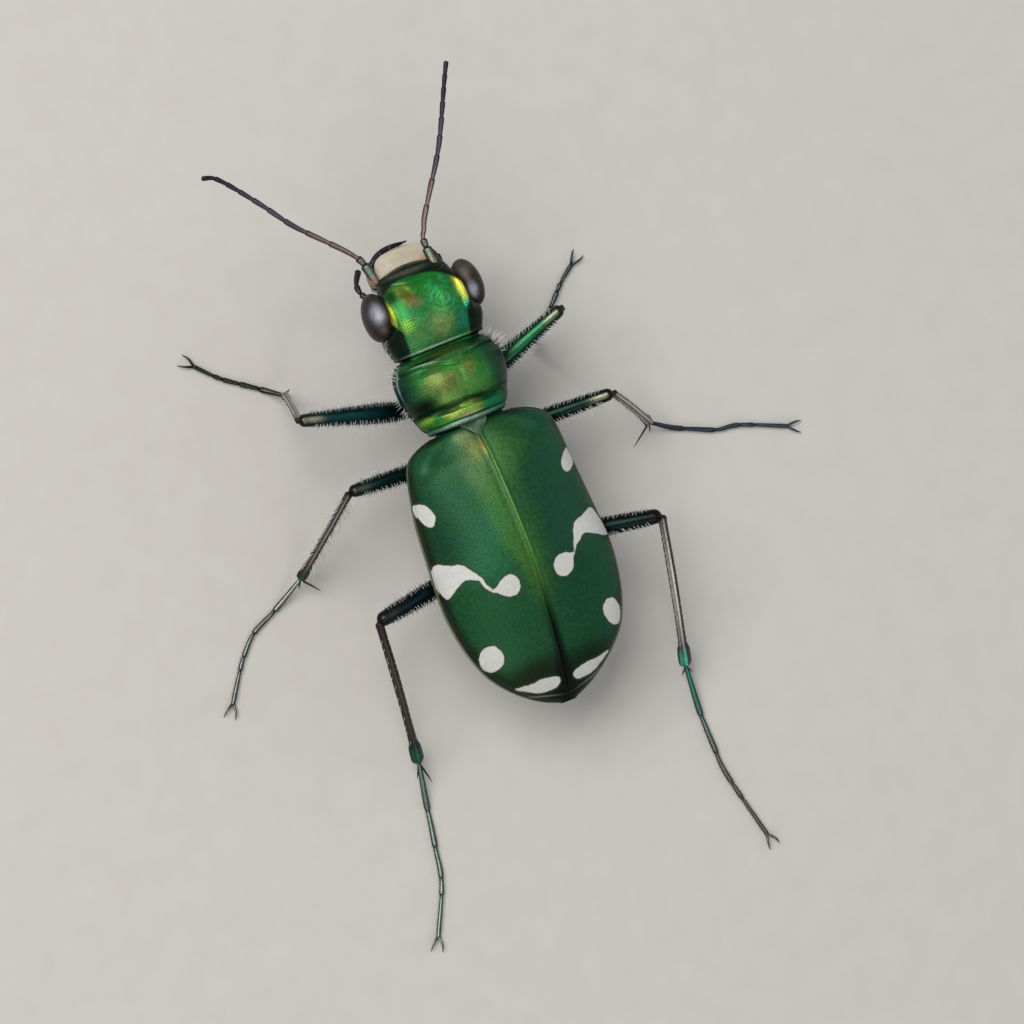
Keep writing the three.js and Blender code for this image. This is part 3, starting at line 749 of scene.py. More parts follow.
RIGHT_MARKS = (
    [(2.48, 6.86), (2.79, 7.12), (2.5, 7.36), (2.12, 7.5), (1.95, 7.36), (2.05, 7.12)],
    [(2.47, 8.66), (2.0, 8.76), (1.57, 8.9), (1.4, 9.21), (1.38, 9.45), (1.52, 9.4), (1.8, 9.26),
     (2.48, 9.49), (2.88, 9.5), (2.9, 9.28), (2.74, 9.02)],
    [(1.48, 9.2), (1.36, 9.3), (1.18, 9.62), (0.95, 9.56), (0.66, 9.58), (0.5, 9.8), (0.55, 10.06),
     (0.78, 10.17), (1.03, 10.04), (1.14, 9.8), (1.3, 9.58), (1.46, 9.36)],
    [(1.58, 11.42), (1.8, 11.2), (2.06, 11.24), (2.22, 11.5), (2.16, 11.82), (1.94, 11.95), (1.68, 11.8)],
    [(0.24, 12.74), (0.3, 12.94), (0.62, 12.96), (1.0, 12.86), (1.52, 12.54), (1.05, 12.6), (0.62, 12.62)],
)


def rounded_outline(corners, pieces=6):
    """A closed smooth curve through the corners."""
    points = np.array(corners, float)
    spans = zip(np.roll(points, 1, 0), points, np.roll(points, -1, 0), np.roll(points, -2, 0))
    shares = np.arange(pieces) / pieces
    return np.array([curve_point(*span, share) for span in spans for share in shares])


def distance_outside(points, outline):
    """Distance from each point to an outline, negative inside it."""
    start = outline
    end = np.roll(outline, -1, axis=0)
    span = end - start
    offset = points[:, None, :] - start[None]
    share = np.clip((offset * span).sum(2) / (span**2).sum(1), 0, 1)
    nearest = np.linalg.norm(offset - share[..., None] * span, axis=2).min(1)
    above = (start[:, 1] > points[:, None, 1]) != (end[:, 1] > points[:, None, 1])
    height = np.where(span[:, 1] == 0, 1e-9, span[:, 1])
    cross = start[:, 0] + (points[:, None, 1] - start[:, 1]) / height * span[:, 0]
    inside = ((above & (points[:, None, 0] < cross)).sum(1) % 2) == 1
    return np.where(inside, -nearest, nearest)


def marking_distance(spots, marks):
    unrolled = np.array([surface_place(spot) for spot in spots])
    return np.min([distance_outside(unrolled, rounded_outline(mark)) for mark in marks], axis=0)


# %% The two wing cases
CASE_COLUMNS = 110
CASE_ROWS = 190


def from_margin(x, y, z):
    """Distance in mm from the outer edge of a wing case."""
    return between(WING_CASES, min(CASE_END, max(CASE_START, y)))[0] - abs(x)


def from_bead(x, y, z):
    """The same, counted narrower on the right, where only the upper flank of the bead is in view and takes
    the painted highlight.
    """
    return from_margin(x, y, z) * (1 if x > 0 else 0.5)


def from_wide_margin(x, y, z):
    """Distance from the outer edge that grows more slowly behind, where the painted shade along the border
    is broad.
    """
    return from_margin(x, y, z) / (1 + 1.3 * step_between(10.3, 12.8, y))


def from_end_bead(x, y, z):
    """Distance in mm from the fine bead that runs inside the rounded ends of the wing cases."""
    return abs(y - 13.23 + 0.26 * abs(x) ** 1.3)


CASE_PAINT = seen_from_above(
    # darker and bluer on the right case, the side away from the light: painted shade
    ("#20523A", -1.6, 9.0, 1.5, 4.5, 0.75),
    ("#1C4A30", 1.55, 7.3, 0.75, 1.7, 0.75),
    ("#2A6C4A", 1.0, 8.9, 0.8, 1.3, 0.6),
    # more painted shade on the right case
    ("#1C4E3C", -1.3, 8.6, 0.8, 1.6, 0.6),
    ("#123C26", 2.0, 8.2, 0.5, 0.9, 0.5),
    ("#647F54", 0.5, 6.45, 0.4, 0.8, 0.75),
    ("#96A45A", 0.28, 5.95, 0.22, 0.42, 0.75),
    ("#8CA474", 0.5, 5.55, 0.26, 0.2, 0.6),
    ("#3C7038", -0.6, 6.1, 0.6, 0.6, 0.7),
    ("#588A4A", -0.26, 6.4, 0.34, 0.8, 0.7),
    ("#4E5E46", -2.15, 6.3, 0.12, 0.6, 0.5),
    ("#50883E", 0.35, 7.9, 0.4, 1.3, 0.65),
    ("#33682E", -0.3, 8.4, 0.35, 1.9, 0.5),
    ("#4A7C30", 0.08, 9.5, 0.36, 1.1, 0.7),
    # painted shade across the front of both wing cases, under the hind edge of the prothorax
    ("#0C2617", 1.35, 5.3, 0.6, 0.17, 0.85),
    ("#0C2617", -1.35, 5.3, 0.6, 0.17, 0.85),
    # painted shade: the rear slopes, the steep outer sides along the border, the very end, and the seam
    # behind
    ("#1A2410", 0.8, 12.42, 1.0, 0.45, 0.9),
    ("#0A1E10", -0.85, 12.5, 0.9, 0.4, 0.8),
    ("#08130C", 0, 9.3, None, 5.0, 0.95, from_wide_margin, 0.17),
    ("#050E08", 0, 13.3, 1.7, 0.6, 0.95),
    ("#020C05", 0, 11.8, 0.15, 1.5, 0.95),
    ("#020C05", 0, 12.9, 0.3, 0.8, 0.95),
    # painted highlights along the edge bead and along the bead inside the rounded ends
    ("#90967A", 0, 9.9, None, 4.2, 0.85, from_bead, 0.03),
    ("#8E9070", 0.72, 13.0, 0.5, 0.4, 0.85, from_end_bead, 0.022),
    ("#7A9080", -0.7, 13.0, 0.5, 0.4, 0.85, from_end_bead, 0.022),
    ("#90C070", 0, 7.8, 0.034, 2.0, 0.9),
    ("#B0A850", 0.07, 6.05, 0.08, 0.2, 0.6),
    ("#A8602C", 0.06, 5.88, 0.06, 0.13, 0.6),
)


def wing_case(side):
    bm = skin(CASE_COLUMNS, CASE_ROWS, wing_case_place, merge=False)
    if side == "right":
        bm = mirrored_skin(bm)
    bm.normal_update()
    if sum(face.normal.z for face in bm.faces) < 0:
        bmesh.ops.reverse_faces(bm, faces=bm.faces)
    marks = LEFT_MARKS if side == "left" else RIGHT_MARKS
    piece = finished("wing_case_" + side, bm, wing_case_finish, ["elytron_" + side],
                     "#235A36", CASE_PAINT, {"marking_mm": lambda spots: marking_distance(spots, marks)})
    shell = piece.modifiers.new("shell", "SOLIDIFY")
    shell.thickness = CASE_THICKNESS * MM
    shell.offset = -1


for side in ("left", "right"):
    wing_case(side)

# %% [markdown]
# ## Scutellum
# Between the bases of the wing cases lies a small flat shield with its point to the rear. It is a filled
# bmesh circle bent to that outline, with its rim extruded down into a skirt. Smooth shading over the rim
# gives it the soft edge of a cushion. A dark line of painted shade, for the slit beside it, is painted along
# its left edge.

# %% The scutellum
SCUTELLUM_FRONT = 5.12
SCUTELLUM_TIP = 5.74
SCUTELLUM_RIM = 3.8
SCUTELLUM_SLOPE = 0.08
SCUTELLUM_SKIRT = 0.3
# half width of the shield at a way from its front to its tip
SCUTELLUM_HALF = through((0, 0), (0.1, 0.34), (0.3, 0.36), (0.55, 0.23), (0.85, 0.06), (1, 0))


def from_shield_edge(x, y, z):
    """Distance in mm from the left edge of the scutellum."""
    way = (y - SCUTELLUM_FRONT) / (SCUTELLUM_TIP - SCUTELLUM_FRONT)
    return abs(x - SCUTELLUM_HALF(way))


SCUTELLUM_PAINT = seen_from_above(
    ("#3E7040", -0.15, 5.5, 0.22, 0.2, 0.7),
    # a painted highlight across the front of the shield, then the painted shade of the slit
    ("#B8C8BC", 0.1, 5.26, 0.35, 0.06, 0.7),
    ("#1E2A16", 0, 5.5, None, 0.3, 0.9, from_shield_edge, 0.03),
)

bm = bmesh.new()
bmesh.ops.create_circle(bm, cap_ends=True, segments=48, radius=1)
for vert in bm.verts:
    angle = math.atan2(vert.co.x, vert.co.y)
    along = (1 - math.cos(angle)) / 2
    vert.co.x = math.copysign(SCUTELLUM_HALF(along), angle)
    vert.co.y = mix(SCUTELLUM_FRONT, SCUTELLUM_TIP, along)
    vert.co.z = SCUTELLUM_RIM + SCUTELLUM_SLOPE * along
skirt = bmesh.ops.extrude_edge_only(bm, edges=bm.edges)["geom"]
lowered = [part for part in skirt if isinstance(part, bmesh.types.BMVert)]
bmesh.ops.translate(bm, vec=(0, 0, -SCUTELLUM_SKIRT), verts=lowered)
bmesh.ops.recalc_face_normals(bm, faces=bm.faces)
finished("scutellum_shield", bm, forebody_finish, ["scutellum"], "#7C967A",
         SCUTELLUM_PAINT)

# %% [markdown]
# ## Prothorax
# The ring behind the head carries the front legs. Its top has a narrow front band, a groove, a broad disc
# in two soft halves, a second groove and a hind collar, all crossed by fine wavy wrinkles. The skin's
# sections give the large form, as in the solid, and a relief along the normals adds grooves and wrinkles.

# %% The prothorax
# place along the beetle, half width, top, height of the widest part, bottom
PROTHORAX = [
    [3.0, 1.28, 3.96, 3.2, 2.5],
    [3.1, 1.36, 4.04, 3.2, 2.36],
    [3.26, 1.48, 4.2, 3.2, 2.16],
    [3.44, 1.56, 4.2, 3.2, 2.06],
    [3.66, 1.6, 4.38, 3.2, 2.0],
    [4.1, 1.58, 4.43, 3.2, 1.96],
    [4.5, 1.47, 4.33, 3.2, 1.98],
    [4.72, 1.38, 4.11, 3.2, 2.02],
    [4.84, 1.34, 4.15, 3.2, 2.05],
    [5.02, 1.24, 4.13, 3.2, 2.13],
    [5.14, 1.14, 4.08, 3.2, 2.2],
    [5.26, 1.02, 4.0, 3.2, 2.3],
]
PROTHORAX_SQUARE = 0.95  # the power that shapes its section: 1 is an ellipse, less is fuller


def front_groove(x):
    """Where the groove behind the front band runs, along the beetle."""
    return 3.36 + 0.13 * bump(x, 0, 0.35) - 0.06 * bump(abs(x), 1.1, 0.4)


def rear_groove(x):
    """Where the groove before the collar runs: notched at the middle, curving forward at the sides."""
    return 4.73 - 0.13 * bump(x, 0.08, 0.24) - 0.08 * step_between(0.4, 1.2, abs(x)) * (1 if x > 0 else 1.4)


def beside_front_groove(x, y, z):
    return y - front_groove(x) + 0.02


def beside_rear_groove(x, y, z):
    return y - rear_groove(x)


PROTHORAX_PAINT = [
    # painted shade on both flanks
    patch("#0B3430", (1.58, 4.0, 3.4), (0.42, 1.3, 0.9), 0.95),
    patch("#052A2A", (-1.32, 4.05, 3.6), (0.62, 1.3, 1.1), 0.97),
    *seen_from_above(
        ("#6CA84E", 0.1, 4.05, 0.9, 0.6, 0.68),
        ("#2AA43C", 0.27, 3.6, 0.3, 0.13, 0.8),
        ("#1E7C36", -0.62, 3.9, 0.22, 0.45, 0.75),
        ("#08442E", -1.04, 3.95, 0.26, 0.65, 0.6),
        ("#787A42", 0.62, 3.9, 0.45, 0.36, 0.8),
        ("#70642E", 0.32, 4.04, 0.22, 0.2, 0.4),
        ("#7C7C3E", -0.28, 3.74, 0.2, 0.3, 0.65),
        ("#86A254", 0.55, 4.36, 0.4, 0.14, 0.7),
        # painted shade: the dark left rear of the disc, the zone before the rear groove, and the front left
        # side
        ("#02120A", 1.2, 4.42, 0.42, 0.27, 0.98),
        ("#0A2416", 0.95, 4.6, 0.5, 0.1, 0.85),
        ("#0C3A1C", 1.4, 3.4, 0.18, 0.25, 0.5),
        ("#062008", -0.2, 4.62, 0.4, 0.08, 0.8),
        ("#4C9A44", -0.25, 3.48, 0.2, 0.12, 0.6),
        ("#5A4420", 0.36, 4.64, 0.22, 0.06, 0.7),
        # painted shade in the rear groove
        ("#04120A", 0, 0, 1.25, None, 0.95, beside_rear_groove, 0.05),
        ("#90C43C", 1.2, 4.8, 0.15, 0.1, 0.9),
        ("#3A8E3C", 0.85, 4.95, 0.35, 0.11, 0.85),
        ("#B0C45C", 0.46, 4.87, 0.32, 0.12, 0.88),
        ("#A0C454", -0.02, 4.83, 0.36, 0.16, 0.88),
        ("#B8BC7C", 0.04, 5.0, 0.32, 0.045, 0.85),
        ("#C8A07C", 0.2, 5.01, 0.22, 0.045, 0.8),
        ("#08744C", -0.72, 4.93, 0.36, 0.2, 0.97),
        ("#4A5A2C", 0.1, 3.15, 0.75, 0.16, 0.9),
        ("#142A0C", 0.66, 3.22, 0.24, 0.1, 0.5),
        ("#12302A", -0.85, 3.14, 0.35, 0.2, 0.9),
        ("#121E0E", 0.75, 3.24, 0.5, 0.05, 0.85),
        # painted highlight along the ridge of the front groove
        ("#B4C8B0", 0.7, 0, 0.42, None, 0.9, beside_front_groove, 0.026),
        ("#8FBF98", -0.6, 0, 0.22, None, 0.6, beside_front_groove, 0.022),
        # painted shade in the crease before the hind rim, then a painted highlight along the rim, fainter on
        # the right
        ("#04120C", 0, 5.06, 1.2, 0.025, 0.9),
        ("#A8C0B4", 0.25, 5.16, 1.0, 0.06, 0.95),
        ("#40705C", -0.65, 5.16, 0.3, 0.07, 0.7),
    ),
    # painted shade on the lower sides and underside
    patch("#0B2622", (0, 4.0, 2.3), (None, None, 0.55), 0.9),
    # painted highlights along the beads of the flanks
    patch("#A8C4C4", (1.5, 3.6, 3.42), (0.3, 0.5, 0.05), 0.85),
    patch("#A8C4C4", (-1.56, 3.9, 3.56), (0.3, 0.35, 0.05), 0.85),
]


BODY_CAP = 0.12  # mm over which the ends of the prothorax and the head are rounded off
END_ROWS = 0.4  # share of the rows that is drawn towards the ends


def squared(value, power):
    """The value with its sign kept and its size raised to a power, which fills out or hollows a circle."""
    return math.copysign(abs(value) ** power, value)


def body_place(stations, y, angle, square, size=1):
    """A place on the body's skin, at an angle from its top towards the beetle's left."""
    half, top, middle, bottom = between(stations, y)
    rise = top - middle if math.cos(angle) > 0 else middle - bottom
    x = half * size * squared(math.sin(angle), square)
    return Vector((x, y, middle + rise * size * squared(math.cos(angle), square)))


def body_skin(stations, around, steps, square):
    """A closed body along Y from stations."""
    start = stations[0][0]
    end = stations[-1][0]

    def place(turn, way):
        y = mix(start, end, (1 - math.cos(math.pi * way)) / 2 * END_ROWS + way * (1 - END_ROWS))
        size = rounded(min(y - start, end - y) / BODY_CAP)
        return body_place(stations, y, -2 * math.pi * turn, square, size)

    return skin(around, steps, place)


def waver(x, y):
    """A slow wave that bends wrinkles, so that no two run alike."""
    return 0.05 * math.sin(3.1 * x + 1.3) + 0.03 * math.sin(7.3 * x - 2.0 * y)


def prothorax_relief(place, normal):
    x, y, z = place
    up = step_between(0.0, 0.6, normal.z)
    disc = step_between(3.46, 3.6, y) * (1 - step_between(4.5, 4.66, y))
    height = -0.012 * bump(x, 0, 0.06) * disc * up
    height += 0.045 * bump(abs(x), 0.6, 0.38) * bump(y, 3.95, 0.42) * up
    height -= 0.07 * bump(y, front_groove(x) + 0.03, 0.035) * up
    height -= 0.11 * bump(y, rear_groove(x), 0.055) * up
    height -= 0.03 * bump(y, 5.07, 0.022)
    height += 0.02 * bump(y, 5.15, 0.04)
    height += 0.016 * bump(y, 3.04, 0.04)
    wrinkle = math.sin(2 * math.pi * (y + waver(x, y)) / 0.085)
    height += 0.0025 * wrinkle * up * (0.3 + 0.7 * disc)
    flank = step_between(0.8, 1.0, abs(x))
    sway = 0.06 * math.sin(2.0 * y)
    keel = bump(z, 3.12 + sway, 0.05) * flank
    height += 0.035 * keel
    height -= 0.03 * bump(z, 2.98 + sway, 0.05) * flank
    return height


bm = body_skin(PROTHORAX, 200, 150, PROTHORAX_SQUARE)
raise_relief(bm, prothorax_relief)
finished("prothorax_ring", bm, forebody_finish, ["prothorax"], "#2B7A38", PROTHORAX_PAINT)

# %% [markdown]
# ## Head
# The head is the part that a tiger beetle is known by: huge eyes that stand out past the prothorax, a
# hollowed brow between them with raised, striped rims, a plate over the mouth, and long jaws. It is the
# same kind of skin as the prothorax with finer rings, and its relief is written feature by feature: the
# hollow brow, the rims over the eyes with their grooves, the groove that frames the mouth plate, two
# pits beside it, and the wrinkled crown.

# %% The head capsule
# the same measures as those of the prothorax
HEAD = [
    [0.58, 0.88, 3.46, 3.16, 2.8],
    [0.74, 0.97, 3.7, 3.26, 2.66],
    [0.95, 1.05, 3.93, 3.34, 2.56],
    [1.4, 1.18, 4.2, 3.46, 2.5],
    [1.9, 1.27, 4.28, 3.48, 2.48],
    [2.35, 1.47, 4.25, 3.42, 2.5],
    [2.6, 1.43, 4.15, 3.36, 2.54],
    [2.82, 1.35, 4.02, 3.3, 2.6],
    [2.95, 1.28, 3.92, 3.28, 2.64],
    [3.2, 1.1, 3.72, 3.26, 2.74],
]
HEAD_SQUARE = 0.72  # its section is much fuller than an ellipse
CROWN_MIDDLE = 0.07  # the head is turned a little, so the bright crown lies to the left of the body's middle
# place along the beetle, and half the width of the bright crown
CROWN = [[0.6, 1.2], [1.63, 1.22], [1.95, 1.2], [2.25, 1.04], [2.6, 0.98], [3.2, 0.96]]


def outside_crown(x, y, z):
    """0 on the dark cheeks, temples and mouth plate; within the bright crown, the distance from its edge."""
    off = x - CROWN_MIDDLE
    front = 0.81 + 0.6 * (abs(off) / 1.18) ** 3 - 0.1 * off
    return max(0, min(y - front, between(CROWN, y)[0] - abs(off)))


HEAD_PAINT = [
    *seen_from_above(
        ("#22A22E", -0.1, 1.25, 0.65, 0.4, 0.5),
        ("#146A2C", 0.15, 1.0, 0.5, 0.14, 0.6),
        ("#1C7A3C", -0.3, 1.75, 0.4, 0.35, 0.6),
        ("#2C8A34", 0.86, 1.82, 0.16, 0.22, 0.6),
        ("#58B468", 0.47, 2.05, 0.2, 0.2, 0.55),
        ("#0A7440", -0.9, 2.2, 0.16, 0.4, 0.7),
        ("#48A05A", 0, 1.95, 0.9, 0.6, 0.5),
        ("#FFFC60", -1.06, 1.54, 0.2, 0.44, 0.98),
        ("#C89A34", -1.0, 1.32, 0.1, 0.16, 0.7),
        ("#BCC636", 1.17, 1.66, 0.14, 0.34, 0.95),
        ("#8CBC48", 0.84, 2.18, 0.24, 0.2, 0.7),
        ("#8E9A38", 0.6, 1.14, 0.26, 0.2, 0.65),
        ("#88682C", 0.5, 1.42, 0.22, 0.18, 0.7),
        ("#B08A5C", 0.4, 1.6, 0.22, 0.15, 0.45),
        ("#0C3C12", 0.92, 1.22, 0.15, 0.2, 0.88),
        ("#2CC0A4", -0.96, 2.16, 0.07, 0.1, 0.75),
        ("#A0AE6A", -0.03, 2.42, 0.4, 0.36, 0.55),
        ("#26866A", -0.75, 2.5, 0.25, 0.3, 0.7),
        ("#6AA25A", 0.6, 2.6, 0.35, 0.3, 0.7),
    ),
    patch("#0A1814", (0, 0, 3.9), (None, None, 1.2), 0.97, line=outside_crown, width=0.06),
    *seen_from_above(
        ("#5A6250", 0.15, 0.72, 0.7, 0.08, 0.7),
        # a painted highlight along the hind edge of the head
        ("#BCCCB8", 0.2, 2.91, 0.85, 0.032, 0.92),
    ),
    # painted shade on the lower sides and underside of the head
    patch("#0B2622", (0, 1.8, 2.6), (None, None, 0.5), 0.9),
]


def head_relief(place, normal):
    x, y, z = place
    side = abs(x)
    up = step_between(-0.1, 0.5, normal.z)
    height = -0.12 * bump(x, 0, 0.5) * bump(y, 1.6, 0.7) * up
    brow = step_between(0.95, 1.25, y) * (1 - step_between(2.15, 2.5, y)) * up
    height += 0.006 * math.cos(2 * math.pi * side / 0.075) * bump(side, 1.0, 0.2) * brow
    height += 0.13 * bump(x, 0.05, 0.6) * step_between(0.5, 0.9, -normal.y) * bump(y, 0.6, 0.15)
    suture = 1.02 - 0.2 * x * x
    height -= 0.03 * bump(y, suture, 0.04) * up * (1 - step_between(0.85, 1.0, side))
    height += 0.03 * bump(y, 0.68, 0.05) * up
    height -= 0.05 * bump(side, 0.5, 0.12) * bump(y, 1.18, 0.13) * up
    height -= 0.01 * bump(side, 0.28, 0.09) * bump(y, 1.75, 0.4) * up
    crown = step_between(1.7, 2.1, y) * up
    height += 0.003 * math.sin(2 * math.pi * (y + waver(x, y)) / 0.08) * crown
    height += 0.0025 * math.sin(2 * math.pi * (side + 0.4 * waver(y, x)) / 0.07) * (1 - crown) * up
    from_whorl = math.hypot(x + 0.36, y - 1.75)
    ripple = math.sin(2 * math.pi * (from_whorl + waver(x, y)) / 0.15)
    height += 0.008 * ripple * bump(from_whorl, 0.3, 0.25) * up
    height += 0.03 * bump(y, 2.92, 0.04)
    height -= 0.05 * bump(y, 3.02, 0.05)
    return height


def brow_lift(x, y, z):
    """How far the rims over the eyes stand up."""
    over_the_eye = step_between(0.95, 1.25, y) * (1 - step_between(2.15, 2.5, y))
    return 0.16 * bump(abs(x - 0.06), 1.12, 0.13) * over_the_eye * step_between(3.55, 3.75, z)


bm = body_skin(HEAD, 220, 160, HEAD_SQUARE)
for vert in bm.verts:
    vert.co.z += brow_lift(*vert.co)
raise_relief(bm, head_relief)
finished("head_capsule", bm, forebody_finish, ["head"], "#237A3C", HEAD_PAINT)

# %% [markdown]
# ## Eyes
# Each eye is more than a hemisphere: an egg-shaped dome that bulges past the head, seated in a thin dark
# rim. A UV sphere scaled in its matrix is the plain start, and it is pressed in a little behind, where the
# temple meets it.

# %% Two compound eyes
EYE_PLACE = (1.38, 1.66, 3.45)
EYE_SIZE = (0.41, 0.76, 0.64)
EYE_PAINT = [
    # the first two patches are pale painted highlights on the two eyes
    patch("#A8AAB4", (1.48, 1.52, 3.95), (0.19, 0.28, 0.38), 0.95),
    patch("#9A9EAA", (-1.33, 1.83, 3.95), (0.13, 0.22, 0.38), 0.95),
    patch("#6A5C50", (1.45, 2.0, 3.8), (0.16, 0.12, 0.3), 0.7),
    patch("#6A5E58", (-1.3, 1.25, 3.9), (0.25, 0.25, 0.4), 0.6),
]

for side, sign in (("left", 1), ("right", -1)):
    bm = bmesh.new()
    centre = Vector((sign * EYE_PLACE[0], EYE_PLACE[1], EYE_PLACE[2]))
    matrix = Matrix.Translation(centre) @ Matrix.Diagonal((*EYE_SIZE, 1))
    bmesh.ops.create_uvsphere(bm, u_segments=72, v_segments=48, radius=1, matrix=matrix)
    raise_relief(bm, lambda place, normal: -0.1 * bump(place.y, 2.5, 0.35) * step_between(0, 1, normal.y))
    finished("eye_dome_" + side, bm, eye_finish, ["eye_" + side], "#241D1B", EYE_PAINT)

# %% [markdown]
# ## Mouth
# The ivory labrum is a thin bowed shield over the jaws. Its outline is a superellipse, so its front is
# broad and its corners are round, and a short tooth stands at its front edge. Under it two sickle jaws
# cross, the left one over the right. Beside them hang two pairs of palps, jointed feelers for food, each
# of three or four lengths.

# %% Labrum
LABRUM_HALF = 0.88
LABRUM_BACK = 0.66
LABRUM_FRONT = -0.02
LABRUM_CORNER = 3.2  # the power of the superellipse: 2 is an ellipse, more is squarer
LABRUM_THICK = 0.07
LABRUM_HEIGHTS = (3.42, 3.02)  # of its middle line, at its back and at its front


def labrum_place(turn, way):
    angle = 2 * math.pi * turn
    half = LABRUM_HALF * max(0, 1 - way**LABRUM_CORNER) ** (1 / LABRUM_CORNER)
    across = squared(math.sin(angle), 0.8)
    x = half * across
    y = mix(LABRUM_BACK, LABRUM_FRONT, way)
    y -= 0.03 * bump(x, 0, 0.07) * step_between(0.85, 1, way)
    thinner = math.sqrt(max(0, 1 - max(0, way - 0.8) / 0.2 * 0.9))
    thick = LABRUM_THICK * (1 - 0.5 * across * across) * thinner
    middle = mix(*LABRUM_HEIGHTS, way) - 0.16 * x * x / LABRUM_HALF**2
    keel = 0.03 * bump(x, 0, 0.08) * (1 - way)
    return x, y, middle + keel + thick * math.cos(angle)


bm = skin(96, 56, labrum_place)
finished("labrum_shield", bm, ivory_finish, ["labrum"], "#C8BDA9", seen_from_above(
    ("#6E6450", 0, -0.03, 0.8, 0.04, 0.7),
    ("#8F8466", 0, 0.6, 1, 0.1, 0.6),
    ("#A89474", 0.1, 0.3, 0.25, 0.2, 0.2),
    ("#D09870", -0.5, 0.54, 0.16, 0.12, 0.6),
))

# %% Jaws
# both given as left jaws; the right one lies tucked in below the left
JAW_LINES = {
    "left": [(0.84, 0.95, 2.62), (0.88, 0.45, 2.58), (0.6, 0.08, 2.55), (0.2, -0.09, 2.55),
             (-0.46, -0.12, 2.55)],
    "right": [(0.84, 0.97, 2.62), (0.86, 0.5, 2.32), (0.58, 0.24, 2.09), (0.1, 0.12, 2.09),
              (-0.46, 0.14, 2.09)],
}
JAW_THICK = through((0, 0.16), (0.25, 0.14), (0.5, 0.12), (0.8, 0.08), (1, 0.015))
TOOTH_THICK = through((0, 0.08), (0.5, 0.055), (1, 0.01))
JAW_TEETH = ((0.42, 0.2), (0.56, 0.22), (0.7, 0.18))  # place along the jaw and length of each tooth
JAW_PAINT = seen_from_above(
    ("#B9AC8C", 1.12, 0.6, 0.16, 0.25, 0.9),
    ("#B9AC8C", -1.12, 0.6, 0.16, 0.25, 0.9),
)
UP = Vector((0, 0, 1))


def flattened(angle):
    """The section of a jaw: flatter above and below."""
    return 1 - 0.25 * math.cos(angle) ** 2


def jaw(side):
    line = Limb(JAW_LINES[side])
    skins = [limb_skin(line, JAW_THICK, 24, 60, flattened)]
    for way, length in JAW_TEETH:
        centre, forward = line.frame(way)[:2]
        inward = forward.cross(UP).normalized()
        tip = centre + inward * (JAW_THICK(way) + length) + forward * 0.08 - UP * 0.12
        skins.append(limb_skin(Limb([centre, centre + inward * 0.1, tip]), TOOTH_THICK, 12, 16))
    bm = joined_skins(skins)
    if side == "right":
        bm = mirrored_skin(bm)
    finished("jaw_sickle_" + side, bm, jaw_finish, ["mandible_" + side], "#241A2A", JAW_PAINT)


for side in ("left", "right"):
    jaw(side)

# %% Palps
OUTER_PALP = [(0.72, 1.15, 2.5), (1.16, 0.95, 2.3), (1.24, 0.55, 2.08), (0.98, 0.14, 1.9)]
INNER_PALP = [(0.3, 1.15, 2.5), (0.46, 0.95, 2.0), (0.56, 0.6, 1.74), (0.58, 0.2, 1.62)]
TUCK = 0.008  # share of a line by which a segment starts inside the one before


def jointed_skins(line, joints, thin, thick, around, steps):
    """Segments of a line between its joints, each widening towards its end and tucked into the next."""
    skins = []
    for start, end in zip(joints, joints[1:]):
        part = Limb([line.spot(way) for way in np.linspace(max(0, start - TUCK), end, 8)], 40)
        middle = (start + end) / 2
        low, high = thin(middle), thick(middle)
        flared = through((0, low), (0.35, mix(low, high, 0.55)), (0.9, high), (1, high * 0.9))
        skins.append(limb_skin(part, flared, around, steps, start_cap=low, end_cap=high * 0.6))
    return skins


def palp(side, points, joints):
    skins = jointed_skins(Limb(points), joints, lambda way: 0.06, lambda way: 0.095, 16, 18)
    bm = joined_skins(skins)
    return mirrored_skin(bm) if side == "right" else bm


for side in ("left", "right"):
    finished("outer_palp_" + side, palp(side, OUTER_PALP, (0, 0.22, 0.48, 0.68, 1)), jaw_finish,
             ["maxillary_palp_" + side], "#1E2024", [])
    finished("inner_palp_" + side, palp(side, INNER_PALP, (0, 0.3, 0.72, 1)), ivory_finish,
             ["labial_palp_" + side], "#D3CCB4", seen_from_above(("#1C1A18", 0, 0.1, None, 0.22, 0.95)))

# %% [markdown]
# Between the roots of the jaws and palps the floor of the mouth closes the head from below. It is a UV
# sphere flattened in its matrix, with its front half drawn out into a blunt lip.

# %% Floor of the mouth
MOUTH_FLOOR_PLACE = (0, 1.05, 2.5)
MOUTH_FLOOR_SIZE = (0.66, 0.56, 0.22)

bm = bmesh.new()
matrix = Matrix.Translation(MOUTH_FLOOR_PLACE) @ Matrix.Diagonal((*MOUTH_FLOOR_SIZE, 1))
bmesh.ops.create_uvsphere(bm, u_segments=48, v_segments=28, radius=1, matrix=matrix)
raise_relief(bm, lambda place, normal: 0.08 * bump(place.x, 0, 0.25) * step_between(0, 1, -normal.y))
finished("mouth_floor", bm, under_finish, [], "#16302A", [
    patch("#5A5244", (0, 0.5, 2.4), (0.3, 0.14, 0.2), 0.7),
])

# %% [markdown]
# ## Feelers
# Each feeler has eleven segments: a stout first one in its socket, a short second, long third and
# fourth ones with a copper shine, and seven dull ones covered in fine down. They are separate skins in one
# mesh, each tucked into the end of the one before, so that the joints read as real joints.

